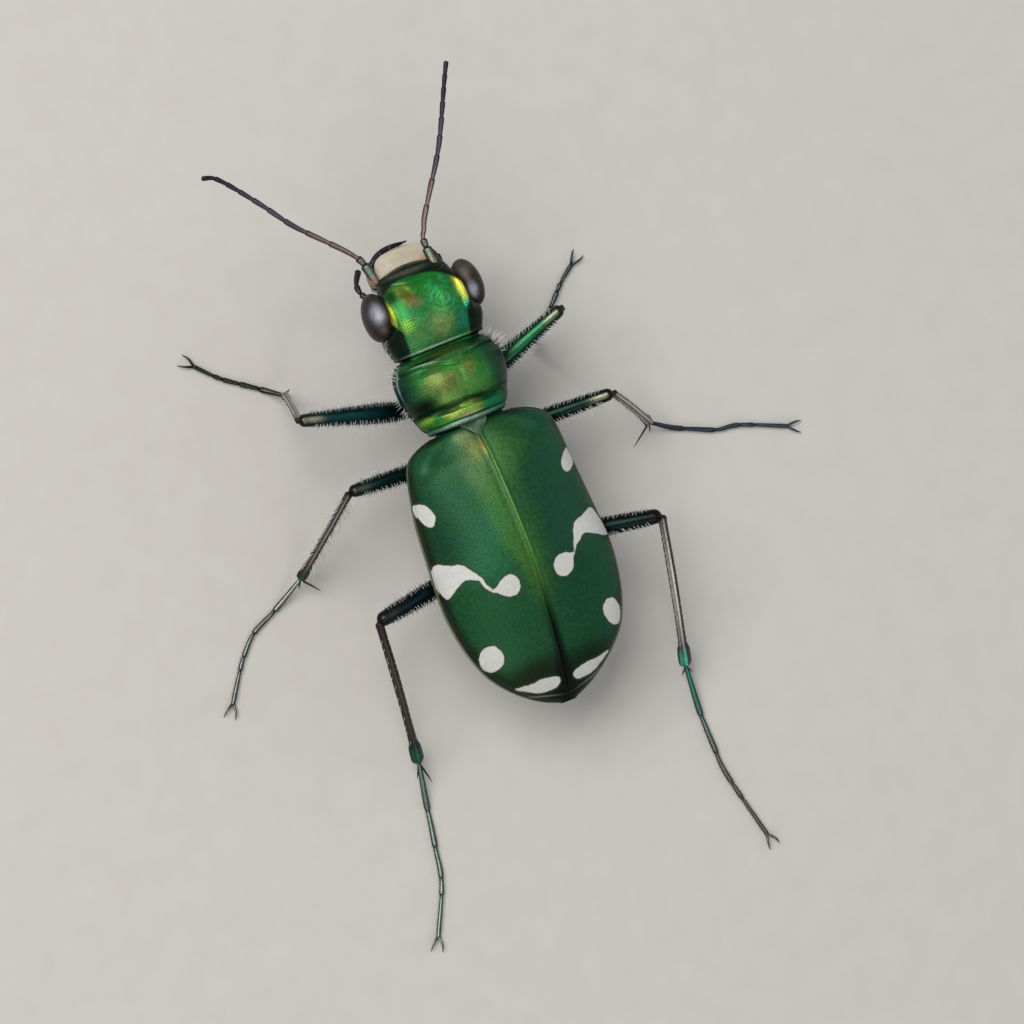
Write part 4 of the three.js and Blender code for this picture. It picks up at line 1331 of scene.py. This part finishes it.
# %% Two feelers
FEELERS = {
    "left": [(0.97, 0.76, 3.26), (1.12, 0.14, 3.32), (1.25, -0.12, 3.38), (1.59, -0.47, 3.6),
             (2.19, -0.97, 4.0), (2.93, -1.63, 4.4), (3.65, -2.47, 4.8), (4.58, -3.47, 5.2),
             (5.04, -3.68, 5.29)],
    "right": [(-0.69, 0.91, 3.55), (-0.65, 0.06, 3.54), (-0.73, -0.19, 3.67), (-0.84, -0.5, 3.8),
              (-1.18, -1.14, 4.15), (-1.53, -1.81, 4.6), (-1.82, -2.44, 4.95), (-2.3, -3.61, 5.4),
              (-2.62, -4.27, 5.5)],
}
# how long each of the eleven segments is, in mm
FEELER_SEGMENTS = (0.78, 0.28, 1.2, 0.92, 0.85, 0.68, 0.6, 0.52, 0.48, 0.42, 0.42)
FEELER_THICK = through((0, 0.14), (0.1, 0.135), (0.15, 0.09), (0.3, 0.082), (0.6, 0.08), (1, 0.07))


def feeler(side):
    line = Limb(FEELERS[side], 400)
    ends = np.concatenate([[0], np.cumsum(FEELER_SEGMENTS)]) / sum(FEELER_SEGMENTS)
    skins = jointed_skins(line, ends, lambda way: FEELER_THICK(way) * 0.72, FEELER_THICK, 18, 22)
    root, base, second, fourth, tip = (line.spot(way) for way in (0.01, 0.05, 0.22, 0.38, 1))
    nodes = ["antenna_" + side + "_" + part for part in ("scape", "stem", "whip")]
    finished("feeler_" + side, joined_skins(skins), bronze_finish, nodes, "#2E2A34", [
        # the patches kept to the upper face are painted highlights; the rest are the feeler's own colours
        patch("#6E6878", root, None, 0.8, top=line),
        patch("#3A2824", second, 0.9, 0.9),
        patch("#3A2824", fourth, 0.6, 0.8),
        patch("#B8A096", second, 0.9, 0.9, top=line),
        patch("#B0908A", fourth, 0.6, 0.8, top=line),
        patch("#1E1A20", tip, 1.4, 0.8),
        patch("#243428", base, 0.42, 0.95),
        patch("#9CB49C", base, 0.42, 0.95, top=line),
        patch("#D09A78", root, 0.22, 0.8),
    ])


for side in FEELERS:
    feeler(side)

# %% [markdown]
# ## Hind body
# Under the wing cases lie the hind thorax and the abdomen: a long keeled body whose underside is a row of
# overlapping plates. One closed skin makes it. Its relief sinks a groove behind each belly plate and
# draws the slanting seams of the side plates above the middle and hind legs.

# %% The hind body
HIND_BODY_START = 4.95
HIND_BODY_END = CASE_END - 0.34
# place along the beetle, and height of the belly
BELLY = through((4.9, 2.5), (5.24, 2.15), (6.2, 1.95), (7.6, 1.82), (9.0, 1.8), (11.0, 1.72), (12.2, 1.76),
                (13.3, 1.98))
SHELL_TOP = 0.6  # from the seam of the wing cases down to the back of the hind body
SHELL_SIDE = 0.5  # from the side edge in to its flank
PLATE_SEAMS = (9.35, 10.2, 10.95, 11.65, 12.3)
FLANK_SEAMS = ((6.9, 0.35), (8.45, 0.3))  # place along the beetle and lean of the seams of the side plates


def hind_body_place(turn, way):
    y = mix(HIND_BODY_START, HIND_BODY_END, way)
    half, edge, seam = between(WING_CASES, max(y, 5.5))
    side = max(0.12, half - SHELL_SIDE)
    top = max(edge + 0.06, seam - SHELL_TOP)
    size = rounded(min((y - HIND_BODY_START) / 0.9, (HIND_BODY_END - y) / 0.5))
    angle = 2 * math.pi * turn
    rise = top - edge if math.cos(angle) > 0 else edge - BELLY(y)
    return -side * size * math.sin(angle), y, edge - 0.05 + rise * size * math.cos(angle)


def hind_body_relief(place, normal):
    x, y, z = place
    below = step_between(-0.2, 0.3, -normal.z)
    height = 0
    for seam in PLATE_SEAMS:
        height -= 0.05 * bump(y, seam + 0.05 * abs(x), 0.035) + 0.02 * (y > seam) * bump(y, seam + 0.12, 0.1)
    flank = 1 - abs(normal.z)
    for seam, lean in FLANK_SEAMS:
        height -= 0.05 * bump(y + lean * (z - 2.5), seam, 0.04) * flank
    height -= 0.05 * bump(z, 2.35 + 0.03 * (y - 7), 0.04) * flank * (1 - step_between(8.6, 9.0, y))
    height -= 0.04 * bump(x, 0, 0.05) * below * (1 - step_between(8.3, 8.8, y))
    return height


bm = skin(120, 220, hind_body_place)
raise_relief(bm, hind_body_relief)
finished("hind_body", bm, under_finish, ["pterothorax", "abdomen"], "#124A42", [
    patch("#1B6A4A", (1.5, 7.4, 2.4), (0.6, 0.9, 0.5), 0.7),
    patch("#1B6A4A", (-1.5, 7.4, 2.4), (0.6, 0.9, 0.5), 0.7),
    patch("#2C2A4A", (0, 11.2, 1.7), (0.9, 1.6, 0.5), 0.6),
    patch("#6A4A2A", (0, 8.0, 1.8), (0.5, 0.8, 0.4), 0.5),
])

# %% [markdown]
# ## Legs
# Six long running legs of the same five parts: hip, a bean-shaped ring, thigh, shank, and a foot of five
# segments that ends in two claws. The joints of each leg are its named places. Every part is a limb skin
# with its own profile: the thigh swells in its first half, the shank is a ribbed rod that widens to two
# spurs, and each foot segment widens to its end.

# %% Where the legs stand
# hip, ring, knee and shank end in mm, and the foot's path on the floor
LEGS = {
    "front_left": {
        "hip": (0.5, 4.4, 2.45), "ring": (0.97, 4.34, 1.95), "knee": (4.52, 3.46, 3.3),
        "shank_end": (3.92, 2.61, 0.45),
        "foot": [(4.35, 2.23), (4.87, 1.86), (5.4, 1.47), (5.97, 0.89)],
    },
    "front_right": {
        "hip": (-0.5, 4.35, 2.45), "ring": (-0.95, 4.28, 1.95), "knee": (-3.71, 3.2, 3.3),
        "shank_end": (-3.3, 3.72, 0.45),
        "foot": [(-3.85, 3.38), (-4.33, 3.0), (-4.83, 2.5), (-5.35, 2.1)],
    },
    "mid_left": {
        "hip": (0.7, 6.2, 2.3), "ring": (1.0, 5.96, 1.8), "knee": (3.84, 5.81, 3.0),
        "shank_end": (5.45, 7.54, 0.45),
        "foot": [(6.35, 8.07), (7.16, 8.45), (7.68, 8.96), (7.95, 9.31), (8.49, 10.1)],
    },
    "mid_right": {
        "hip": (-0.7, 6.2, 2.3), "ring": (-1.15, 5.8, 1.8), "knee": (-4.25, 5.93, 3.0),
        "shank_end": (-5.63, 7.06, 0.45),
        "foot": [(-6.33, 7.45), (-6.93, 7.72), (-7.51, 7.96), (-8.18, 8.07), (-9.5, 8.61)],
    },
    "hind_left": {
        "hip": (0.7, 8.65, 2.2), "ring": (1.15, 9.0, 1.75), "knee": (4.49, 9.43, 3.2),
        "shank_end": (4.23, 13.51, 0.45),
        "foot": [(4.4, 14.8), (4.6, 15.89), (4.82, 16.9), (5.49, 18.27)],
    },
    "hind_right": {
        "hip": (-0.7, 8.65, 2.2), "ring": (-1.15, 9.0, 1.75), "knee": (-4.19, 9.6, 3.2),
        "shank_end": (-3.99, 13.8, 0.45),
        "foot": [(-3.97, 15.24), (-3.98, 16.22), (-4.03, 17.08), (-4.49, 19.1)],
    },
}
# the radius of a thigh at some ways from its ring to its blunt knee
THIGH_WAYS = (0, 0.12, 0.3, 0.55, 0.8, 0.93, 1)
THIGH_RADII = {
    "front": (0.15, 0.24, 0.28, 0.25, 0.205, 0.18, 0.165),
    "mid": (0.15, 0.2, 0.23, 0.225, 0.2, 0.175, 0.16),
    "hind": (0.15, 0.22, 0.265, 0.26, 0.235, 0.205, 0.185),
}
THIGH_THICK = {pair: through(*zip(THIGH_WAYS, radii)) for pair, radii in THIGH_RADII.items()}
# the radius of a shank: slim ones with a flared end, and a cup at the end of the hind ones
SHANK_THICK = {
    "front": through((0, 0.12), (0.06, 0.1), (0.3, 0.105), (0.75, 0.11), (0.93, 0.14), (1, 0.135)),
    "mid": through((0, 0.12), (0.06, 0.1), (0.3, 0.105), (0.75, 0.11), (0.93, 0.145), (1, 0.14)),
    "hind": through((0, 0.13), (0.06, 0.11), (0.3, 0.115), (0.84, 0.118), (0.885, 0.17), (1, 0.175)),
}
# where the tips of the two spurs lie, in mm from the end of the shank
SPURS = {
    "front_left": [(-0.24, -0.12, -0.1), (0.16, -0.2, -0.15)],
    "front_right": [(0.24, -0.12, -0.1), (-0.16, -0.2, -0.15)],
    "mid_left": [(-0.46, 0.51, -0.1), (0.08, 0.24, -0.25)],
    "mid_right": [(0.67, 0.5, -0.12), (0.02, 0.26, -0.25)],
    "hind_left": [(-0.19, 0.64, -0.15), (0.16, 0.4, -0.2)],
    "hind_right": [(0.16, 0.22, -0.2), (-0.16, 0.22, -0.2)],
}
FOOT_RADIUS = 0.068
FOOT_HEIGHT = 0.08  # of the middle of the foot over the floor
FOOT_JOINTS = (0, 0.28, 0.49, 0.665, 0.76, 1)
CLAW_LENGTH = 0.42


def bowed_line(start, end, bow, pieces=160):
    """A limb whose middle stands a little higher than the straight line from start to end."""
    start, end = Vector(start), Vector(end)
    return Limb([start, start.lerp(end, 0.5) + Vector((0, 0, bow)), end], pieces)


def thigh_line(leg):
    return bowed_line(leg["ring"], leg["knee"], 0.05)


def shank_line(leg):
    return bowed_line(leg["knee"], leg["shank_end"], 0.1)


def foot_line(leg):
    line = Limb([leg["shank_end"]] + [(x, y, FOOT_HEIGHT) for x, y in leg["foot"]], 240)
    line.line[:, 2] = np.maximum(line.line[:, 2], FOOT_HEIGHT)
    return line


def pair_of(name):
    """front, mid or hind."""
    return name.split("_")[0]


# %% Hips, thighs and shanks
HIP_THICK = through((0, 0.36), (0.5, 0.34), (1, 0.2))
RING_THICK = through((0, 0.15), (0.4, 0.19), (1, 0.13))
SPUR_THICK = through((0, 0.036), (0.6, 0.024), (1, 0.007))


def hip(name, leg):
    """A cone under the body, and the bean-shaped ring that the thigh turns on."""
    start = Vector(leg["ring"])
    towards = (Vector(leg["knee"]) - start).normalized()
    cone = limb_skin(Limb([leg["hip"], leg["ring"]]), HIP_THICK, 36, 30)
    bean = limb_skin(Limb([start + towards * reach for reach in (-0.12, 0.08, 0.28)]), RING_THICK, 28, 24)
    bm = joined_skins([cone, bean])
    finished("hip_" + name, bm, under_finish, ["coxa_" + name], "#124038", [
        patch("#3A2A4A", leg["ring"], 0.3, 0.5),
    ])


# the main colour of each thigh, the painted highlight on its upper face, and how strong the painted
# highlight before the knee is
THIGH_PAINT = {
    "front_left": ("#0B2E30", "#164E48", 0.98), "front_right": ("#143E30", "#347A4C", 0.6),
    "mid_left": ("#0E1E1E", "#1A4442", 0.2), "mid_right": ("#081A1A", "#103226", 0.75),
    "hind_left": ("#07161A", "#0C2A32", 0.1), "hind_right": ("#041414", "#082220", 0.0),
}


def keeled(angle):
    """The section of a thigh: four faint keels."""
    return 1 + 0.04 * math.cos(2 * angle) ** 2


def thigh(name, leg):
    line = thigh_line(leg)
    bm = limb_skin(line, THIGH_THICK[pair_of(name)], 48, 90, keeled)
    root, middle, near_knee, knee = (line.spot(way) for way in (0.1, 0.6, 0.9, 1))
    base, bright, pale = THIGH_PAINT[name]
    finished("thigh_" + name, bm, leg_finish, ["femur_" + name], base, [
        # painted highlights on the upper face, before the knee and at the knee; the dark root and the dark
        # knee joint are its own colour
        patch(bright, middle, 1.1, 0.9, top=line),
        patch("#061614", root, 0.8, 0.75),
        patch("#241E16", knee, 0.4, 0.6),
        patch("#B8B89C", near_knee, 0.34, pale, top=line),
        patch("#8A9286", knee, 0.14, 0.6, top=line),
    ])


# the painted highlight on the upper face of each shank, the colour of its end, and how strong that is
SHANK_PAINT = {
    "front_left": ("#B4A89A", "#1E5A4A", 0.0), "front_right": ("#6A625A", "#1E5A4A", 0.2),
    "mid_left": ("#A0968E", "#1C5444", 0.7), "mid_right": ("#E4DCD4", "#1E5A4A", 0.1),
    "hind_left": ("#5C524A", "#2E7660", 0.9), "hind_right": ("#F4ECE6", "#5CDCBC", 0.98),
}


def ribbed(angle):
    """The section of a shank: four ribs."""
    return 1 + 0.1 * math.cos(4 * angle)


def shank(name, leg):
    line = shank_line(leg)
    skins = [limb_skin(line, SHANK_THICK[pair_of(name)], 32, 80, ribbed)]
    end = Vector(leg["shank_end"])
    for reach in SPURS[name]:
        tip = end + Vector(reach)
        skins.append(limb_skin(bowed_line(end.lerp(tip, 0.12), tip, 0.02, 30), SPUR_THICK, 8, 12))
    pale, green, strength = SHANK_PAINT[name]
    middle, cup = line.spot(0.45), line.spot(0.95)
    bm = joined_skins(skins)
    finished("shank_" + name, bm, bronze_finish, ["tibia_" + name], "#241F1C", [
        # painted highlight on the upper face; the end cup is dark teal, its own colour, and brighter on its
        # upper face as a painted highlight
        patch(pale, middle, 2.2, 0.92, top=line),
        patch("#0C2C26", cup, 0.42, strength),
        patch(green, cup, 0.4, strength, top=line),
    ])


# %% Feet
# how thick a foot is at its start and end, as shares of its radius
FOOT_THICK = {"front": (1.3, 0.85), "mid": (1.18, 0.85), "hind": (1.38, 0.85)}
CLAW_THICK = through((0, 0.04), (0.5, 0.03), (1, 0.007))
# the painted highlight on the upper face of each foot: near the shank, and towards the claws
FOOT_PAINT = {
    "front_left": ("#54504A", "#4A463E"), "front_right": ("#5E7068", "#4A5450"),
    "mid_left": ("#A4A698", "#8A9488"), "mid_right": ("#423A58", "#5C7078"),
    "hind_left": ("#7AA08E", "#98AC9C"), "hind_right": ("#34A288", "#8E867C"),
}


def claw(line, turn):
    """One of the two claws at the end of a foot; turn is 1 for the one on its left and -1 for the other."""
    centre, forward, side = line.frame(0.99)[:3]
    flat = Vector((forward.x, forward.y, 0)).normalized()
    root = centre + side * 0.02 * turn
    middle = centre + flat * CLAW_LENGTH * 0.55 + side * 0.13 * turn + Vector((0, 0, 0.05))
    tip = centre + flat * CLAW_LENGTH + side * 0.17 * turn - Vector((0, 0, 0.05))
    return limb_skin(Limb([root, middle, tip], 30), CLAW_THICK, 10, 14)


def foot(name, leg):
    line = foot_line(leg)
    first, last = FOOT_THICK[pair_of(name)]

    def thick(way):
        return FOOT_RADIUS * mix(first, last, way)

    skins = jointed_skins(line, FOOT_JOINTS, lambda way: 0.68 * thick(way), thick, 16, 22)
    skins += [claw(line, -1), claw(line, 1)]
    near, far = FOOT_PAINT[name]
    finished("foot_" + name, joined_skins(skins), leg_finish, ["tarsus_" + name], "#14201F", [
        # painted highlight on the upper face; the dark joints between the segments are their own colour
        patch(far, leg["shank_end"], None, 0.85, top=line),
        patch(near, leg["shank_end"], 1.9, 0.95, top=line),
        *(patch("#101C1C", line.spot(way), 0.08, 0.85) for way in FOOT_JOINTS[1:-1]),
    ])


for name, leg in LEGS.items():
    hip(name, leg)
    thigh(name, leg)
    shank(name, leg)
    foot(name, leg)

# %% [markdown]
# ## Bristles
# White bristles stand in rows along the thighs and shanks and in loose tufts on the flanks. Each is a
# three-sided spike with one bend: a bmesh cone, cut across once. Thousands are needed, so its few corners
# are repeated by a loop: each bristle has a root, a direction, a length and a bend, and all bristles of a
# leg become one mesh. The map OFBake gives each bristle its own small patch at its root's place on the
# unrolled limb or body, so that a baked colour has room for it.

# %% One bristle, and many
BRISTLE_RADIUS = 0.019
FLOOR_CLEAR = 0.012  # nothing hangs lower than this over the floor
UV_PATCH = 0.003
ROOT_SINK = 0.04  # share of its length by which a bristle starts before its root
ROOT_DEPTH = 0.94  # how far a root lies from the middle of a limb, as a share of the radius

bm = bmesh.new()
bmesh.ops.create_cone(bm, cap_ends=True, segments=3, radius1=1, radius2=0.12, depth=1)
bmesh.ops.translate(bm, vec=(0, 0, 0.5), verts=bm.verts)
everything = bm.verts[:] + bm.edges[:] + bm.faces[:]
bmesh.ops.bisect_plane(bm, geom=everything, plane_co=(0, 0, 0.5), plane_no=(0, 0, 1))
bm.verts.ensure_lookup_table()
spike_places = np.array([vert.co[:] for vert in bm.verts])
spike_faces = [[vert.index for vert in face.verts] for face in bm.faces]
bm.free()


class Bristles:
    """Collects bristles and turns them into one mesh."""

    def __init__(self, seed):
        self.draw = random.Random(seed)
        self.rows = []

    def add(self, root, towards, bend, length, uv, radius=BRISTLE_RADIUS):
        self.rows.append((root, towards.normalized(), bend, length, uv, radius))

    def build(self, name):
        places, faces, uvs = [], [], []
        for root, towards, bend, length, uv, radius in self.rows:
            side = towards.orthogonal().normalized()
            other = towards.cross(side)
            start = len(places)
            for x, y, z in spike_places:
                thick = radius * (1 - 0.4 * z)
                reach = (towards * (z - ROOT_SINK) + bend * z * z) * length
                spot = root + (side * x + other * y) * thick + reach
                spot.z = max(spot.z, FLOOR_CLEAR)
                places.append(spot)
            for face in spike_faces:
                faces.append([start + i for i in face])
                for x, y, z in spike_places[face]:
                    uvs.append((uv[0] + UV_PATCH * (x / 2 + y / 4), uv[1] + UV_PATCH * (z - 0.5)))
        mesh = bpy.data.meshes.new(name)
        mesh.from_pydata(places, [], faces)
        mesh.uv_layers.new(name="OFBake").data.foreach_set("uv", np.array(uvs).ravel())
        in_frame(name, mesh, bristle_finish)
        print(name, len(self.rows), "bristles")


# %% [markdown]
# A row runs along a limb at one angle round it. Its bristles lean towards the foot, and each differs a
# little in place, length and lean. The random draws come from one seed for each piece.

# %% Rows of bristles on the legs
def bristle_row(bristles, limb, thick, angle, ways, spacing, length, lean, strip, radius=BRISTLE_RADIUS):
    """A row on a limb of radius thick(way), between two ways, at an angle in degrees from straight up.

    lean is the share of the limb's own direction in that of a bristle, and strip the band of the map.
    """
    draw = bristles.draw
    start, end = ways
    count = int(limb.length * (end - start) / spacing)
    for k in range(count):
        way = mix(start, end, (k + 0.5 + draw.uniform(-0.35, 0.35)) / count)
        turn = math.radians(angle + draw.uniform(-9, 9))
        root, out, forward = limb.surface(way, turn, thick(way) * ROOT_DEPTH)
        towards = out + forward * (lean + draw.uniform(-0.15, 0.15))
        bend = forward * 0.18 + Vector((0, 0, -0.08))
        uv = (way, (strip + (turn / (2 * math.pi)) % 1) / 3)
        bristles.add(root, towards, bend, length * draw.uniform(0.7, 1.15), uv, radius)


# length, spacing and radius of the bristles of a shank, in mm: the hairier ones by name
PLAIN_SHANK_BRISTLES = (0.14, 0.26, 0.014)
SHANK_BRISTLES = {
    "mid_left": (0.4, 0.07, 0.019), "mid_right": (0.18, 0.13, 0.014), "front_left": (0.14, 0.12, 0.014),
}
FAR_SIDE_SHARE = 0.7  # the length of the long bristles on the side that the camera sees less of


def leg_bristles(name, leg, seed):
    bristles = Bristles(seed)
    line, thick = thigh_line(leg), THIGH_THICK[pair_of(name)]
    for angle in (44, -44, 66, -66, 88, -88):
        bristle_row(bristles, line, thick, angle, (0.1, 0.9), 0.1, 0.28, 0.4, 0)
    for angle in (130, -130):
        bristle_row(bristles, line, thick, angle, (0.1, 0.9), 0.16, 0.2, 0.4, 0)
    line, thick = shank_line(leg), SHANK_THICK[pair_of(name)]
    length, spacing, radius = SHANK_BRISTLES.get(name, PLAIN_SHANK_BRISTLES)
    for angle in (60, -60, 95, -95, 140, -140):
        share = FAR_SIDE_SHARE if name == "mid_left" and angle < 0 else 1
        bristle_row(bristles, line, thick, angle, (0.08, 0.86), spacing, length * share, 0.9, 1, radius)
    line, thick = foot_line(leg), lambda way: FOOT_RADIUS * 0.9
    for angle in (95, -95, 125, -125):
        bristle_row(bristles, line, thick, angle, (0.05, 0.95), 0.1, 0.1, 1.2, 2, 0.012)
    bristles.build("bristles_" + name)


for seed, (name, leg) in enumerate(LEGS.items(), start=11):
    leg_bristles(name, leg, seed)

# %% [markdown]
# On the body the bristles stand in soft tufts: along the flanks of the prothorax, above the hips, on the
# sides of the hind body, and on the temples and cheeks. A tuft is a patch of the body's skin given by a
# range along the beetle and a range of angles from the top.

# %% Tufts on the body
BODY_CORE_HEIGHT = 3.1  # bristles point away from a line along the beetle at this height
BEND_BACK = Vector((0, 0.15, -0.15))


def tuft(bristles, surface, ys, angles, count, length, lean, sides=(-1, 1)):
    """surface(y, angle) is a place on the skin; the normal comes from its neighbours. Side 1 is the left."""
    draw = bristles.draw
    for k in range(count):
        y = draw.uniform(*ys)
        angle = math.radians(draw.uniform(*angles)) * sides[k % len(sides)]
        root = surface(y, angle)
        along = surface(y + 0.02, angle) - surface(y - 0.02, angle)
        around = surface(y, angle + 0.02) - surface(y, angle - 0.02)
        out = along.cross(around).normalized()
        if out.dot(root - Vector((0, y, BODY_CORE_HEIGHT))) < 0:
            out = -out
        towards = out + Vector((0, lean, 0.0)) + Vector([draw.uniform(-0.35, 0.35) for _ in range(3)])
        uv = (y / (BODY_LENGTH + 1), 0.5 + angle / (2 * math.pi))
        bristles.add(root, towards, BEND_BACK, length * draw.uniform(0.6, 1.2), uv)


def on_prothorax(y, angle):
    return body_place(PROTHORAX, y, angle, PROTHORAX_SQUARE)


def on_head(y, angle):
    return body_place(HEAD, y, angle, HEAD_SQUARE)


def on_hind_body(y, angle):
    way = (y - HIND_BODY_START) / (HIND_BODY_END - HIND_BODY_START)
    return Vector(hind_body_place(-angle / (2 * math.pi) % 1, way))


bristles = Bristles(3)
tuft(bristles, on_prothorax, (3.15, 4.9), (84, 120), 54, 0.2, 0.2)
tuft(bristles, on_prothorax, (3.08, 3.45), (70, 95), 14, 0.3, -0.4, sides=(1,))
tuft(bristles, on_prothorax, (3.08, 3.6), (62, 92), 46, 0.5, -0.3, sides=(-1,))
tuft(bristles, on_prothorax, (3.3, 4.9), (115, 165), 90, 0.2, 0.3)
bristles.build("bristles_prothorax")

# the head also has five fine bristles before the labrum
bristles = Bristles(5)
tuft(bristles, on_head, (2.3, 2.8), (75, 130), 36, 0.22, 0.3)
tuft(bristles, on_head, (0.8, 1.3), (100, 150), 30, 0.2, -0.4)
for x, y, z in ((0.5, 0.1, 3.0), (0.2, 0.02, 3.05), (-0.2, 0.02, 3.05), (-0.5, 0.1, 3.0), (0.68, 0.3, 3.05)):
    forward = Vector((0.15 * x, -1, 0.12))
    bristles.add(Vector((x, y, z)), forward, Vector((0, 0, -0.2)), 0.2, (0.02, 0.5 + x / 4), 0.009)
bristles.build("bristles_head")

bristles = Bristles(9)
tuft(bristles, on_hind_body, (5.7, 9.0), (95, 140), 260, 0.2, 0.5)
tuft(bristles, on_hind_body, (9.0, 12.8), (95, 150), 160, 0.16, 0.7)
bristles.build("bristles_hind_body")

# %% [markdown]
# ## Sizes
# The dressed beetle has to fill the same box as the solids, so both boxes are printed.

# %% Write both boxes and finish
dressed_low, dressed_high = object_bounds()
boxes = {
    "cad": [list(cad_low), list(cad_high)],
    "visual": [list(dressed_low), list(dressed_high)],
}
for key, (low, high) in boxes.items():
    print(key, "box in mm:", [round((b - a) / MM, 2) for a, b in zip(low, high)])
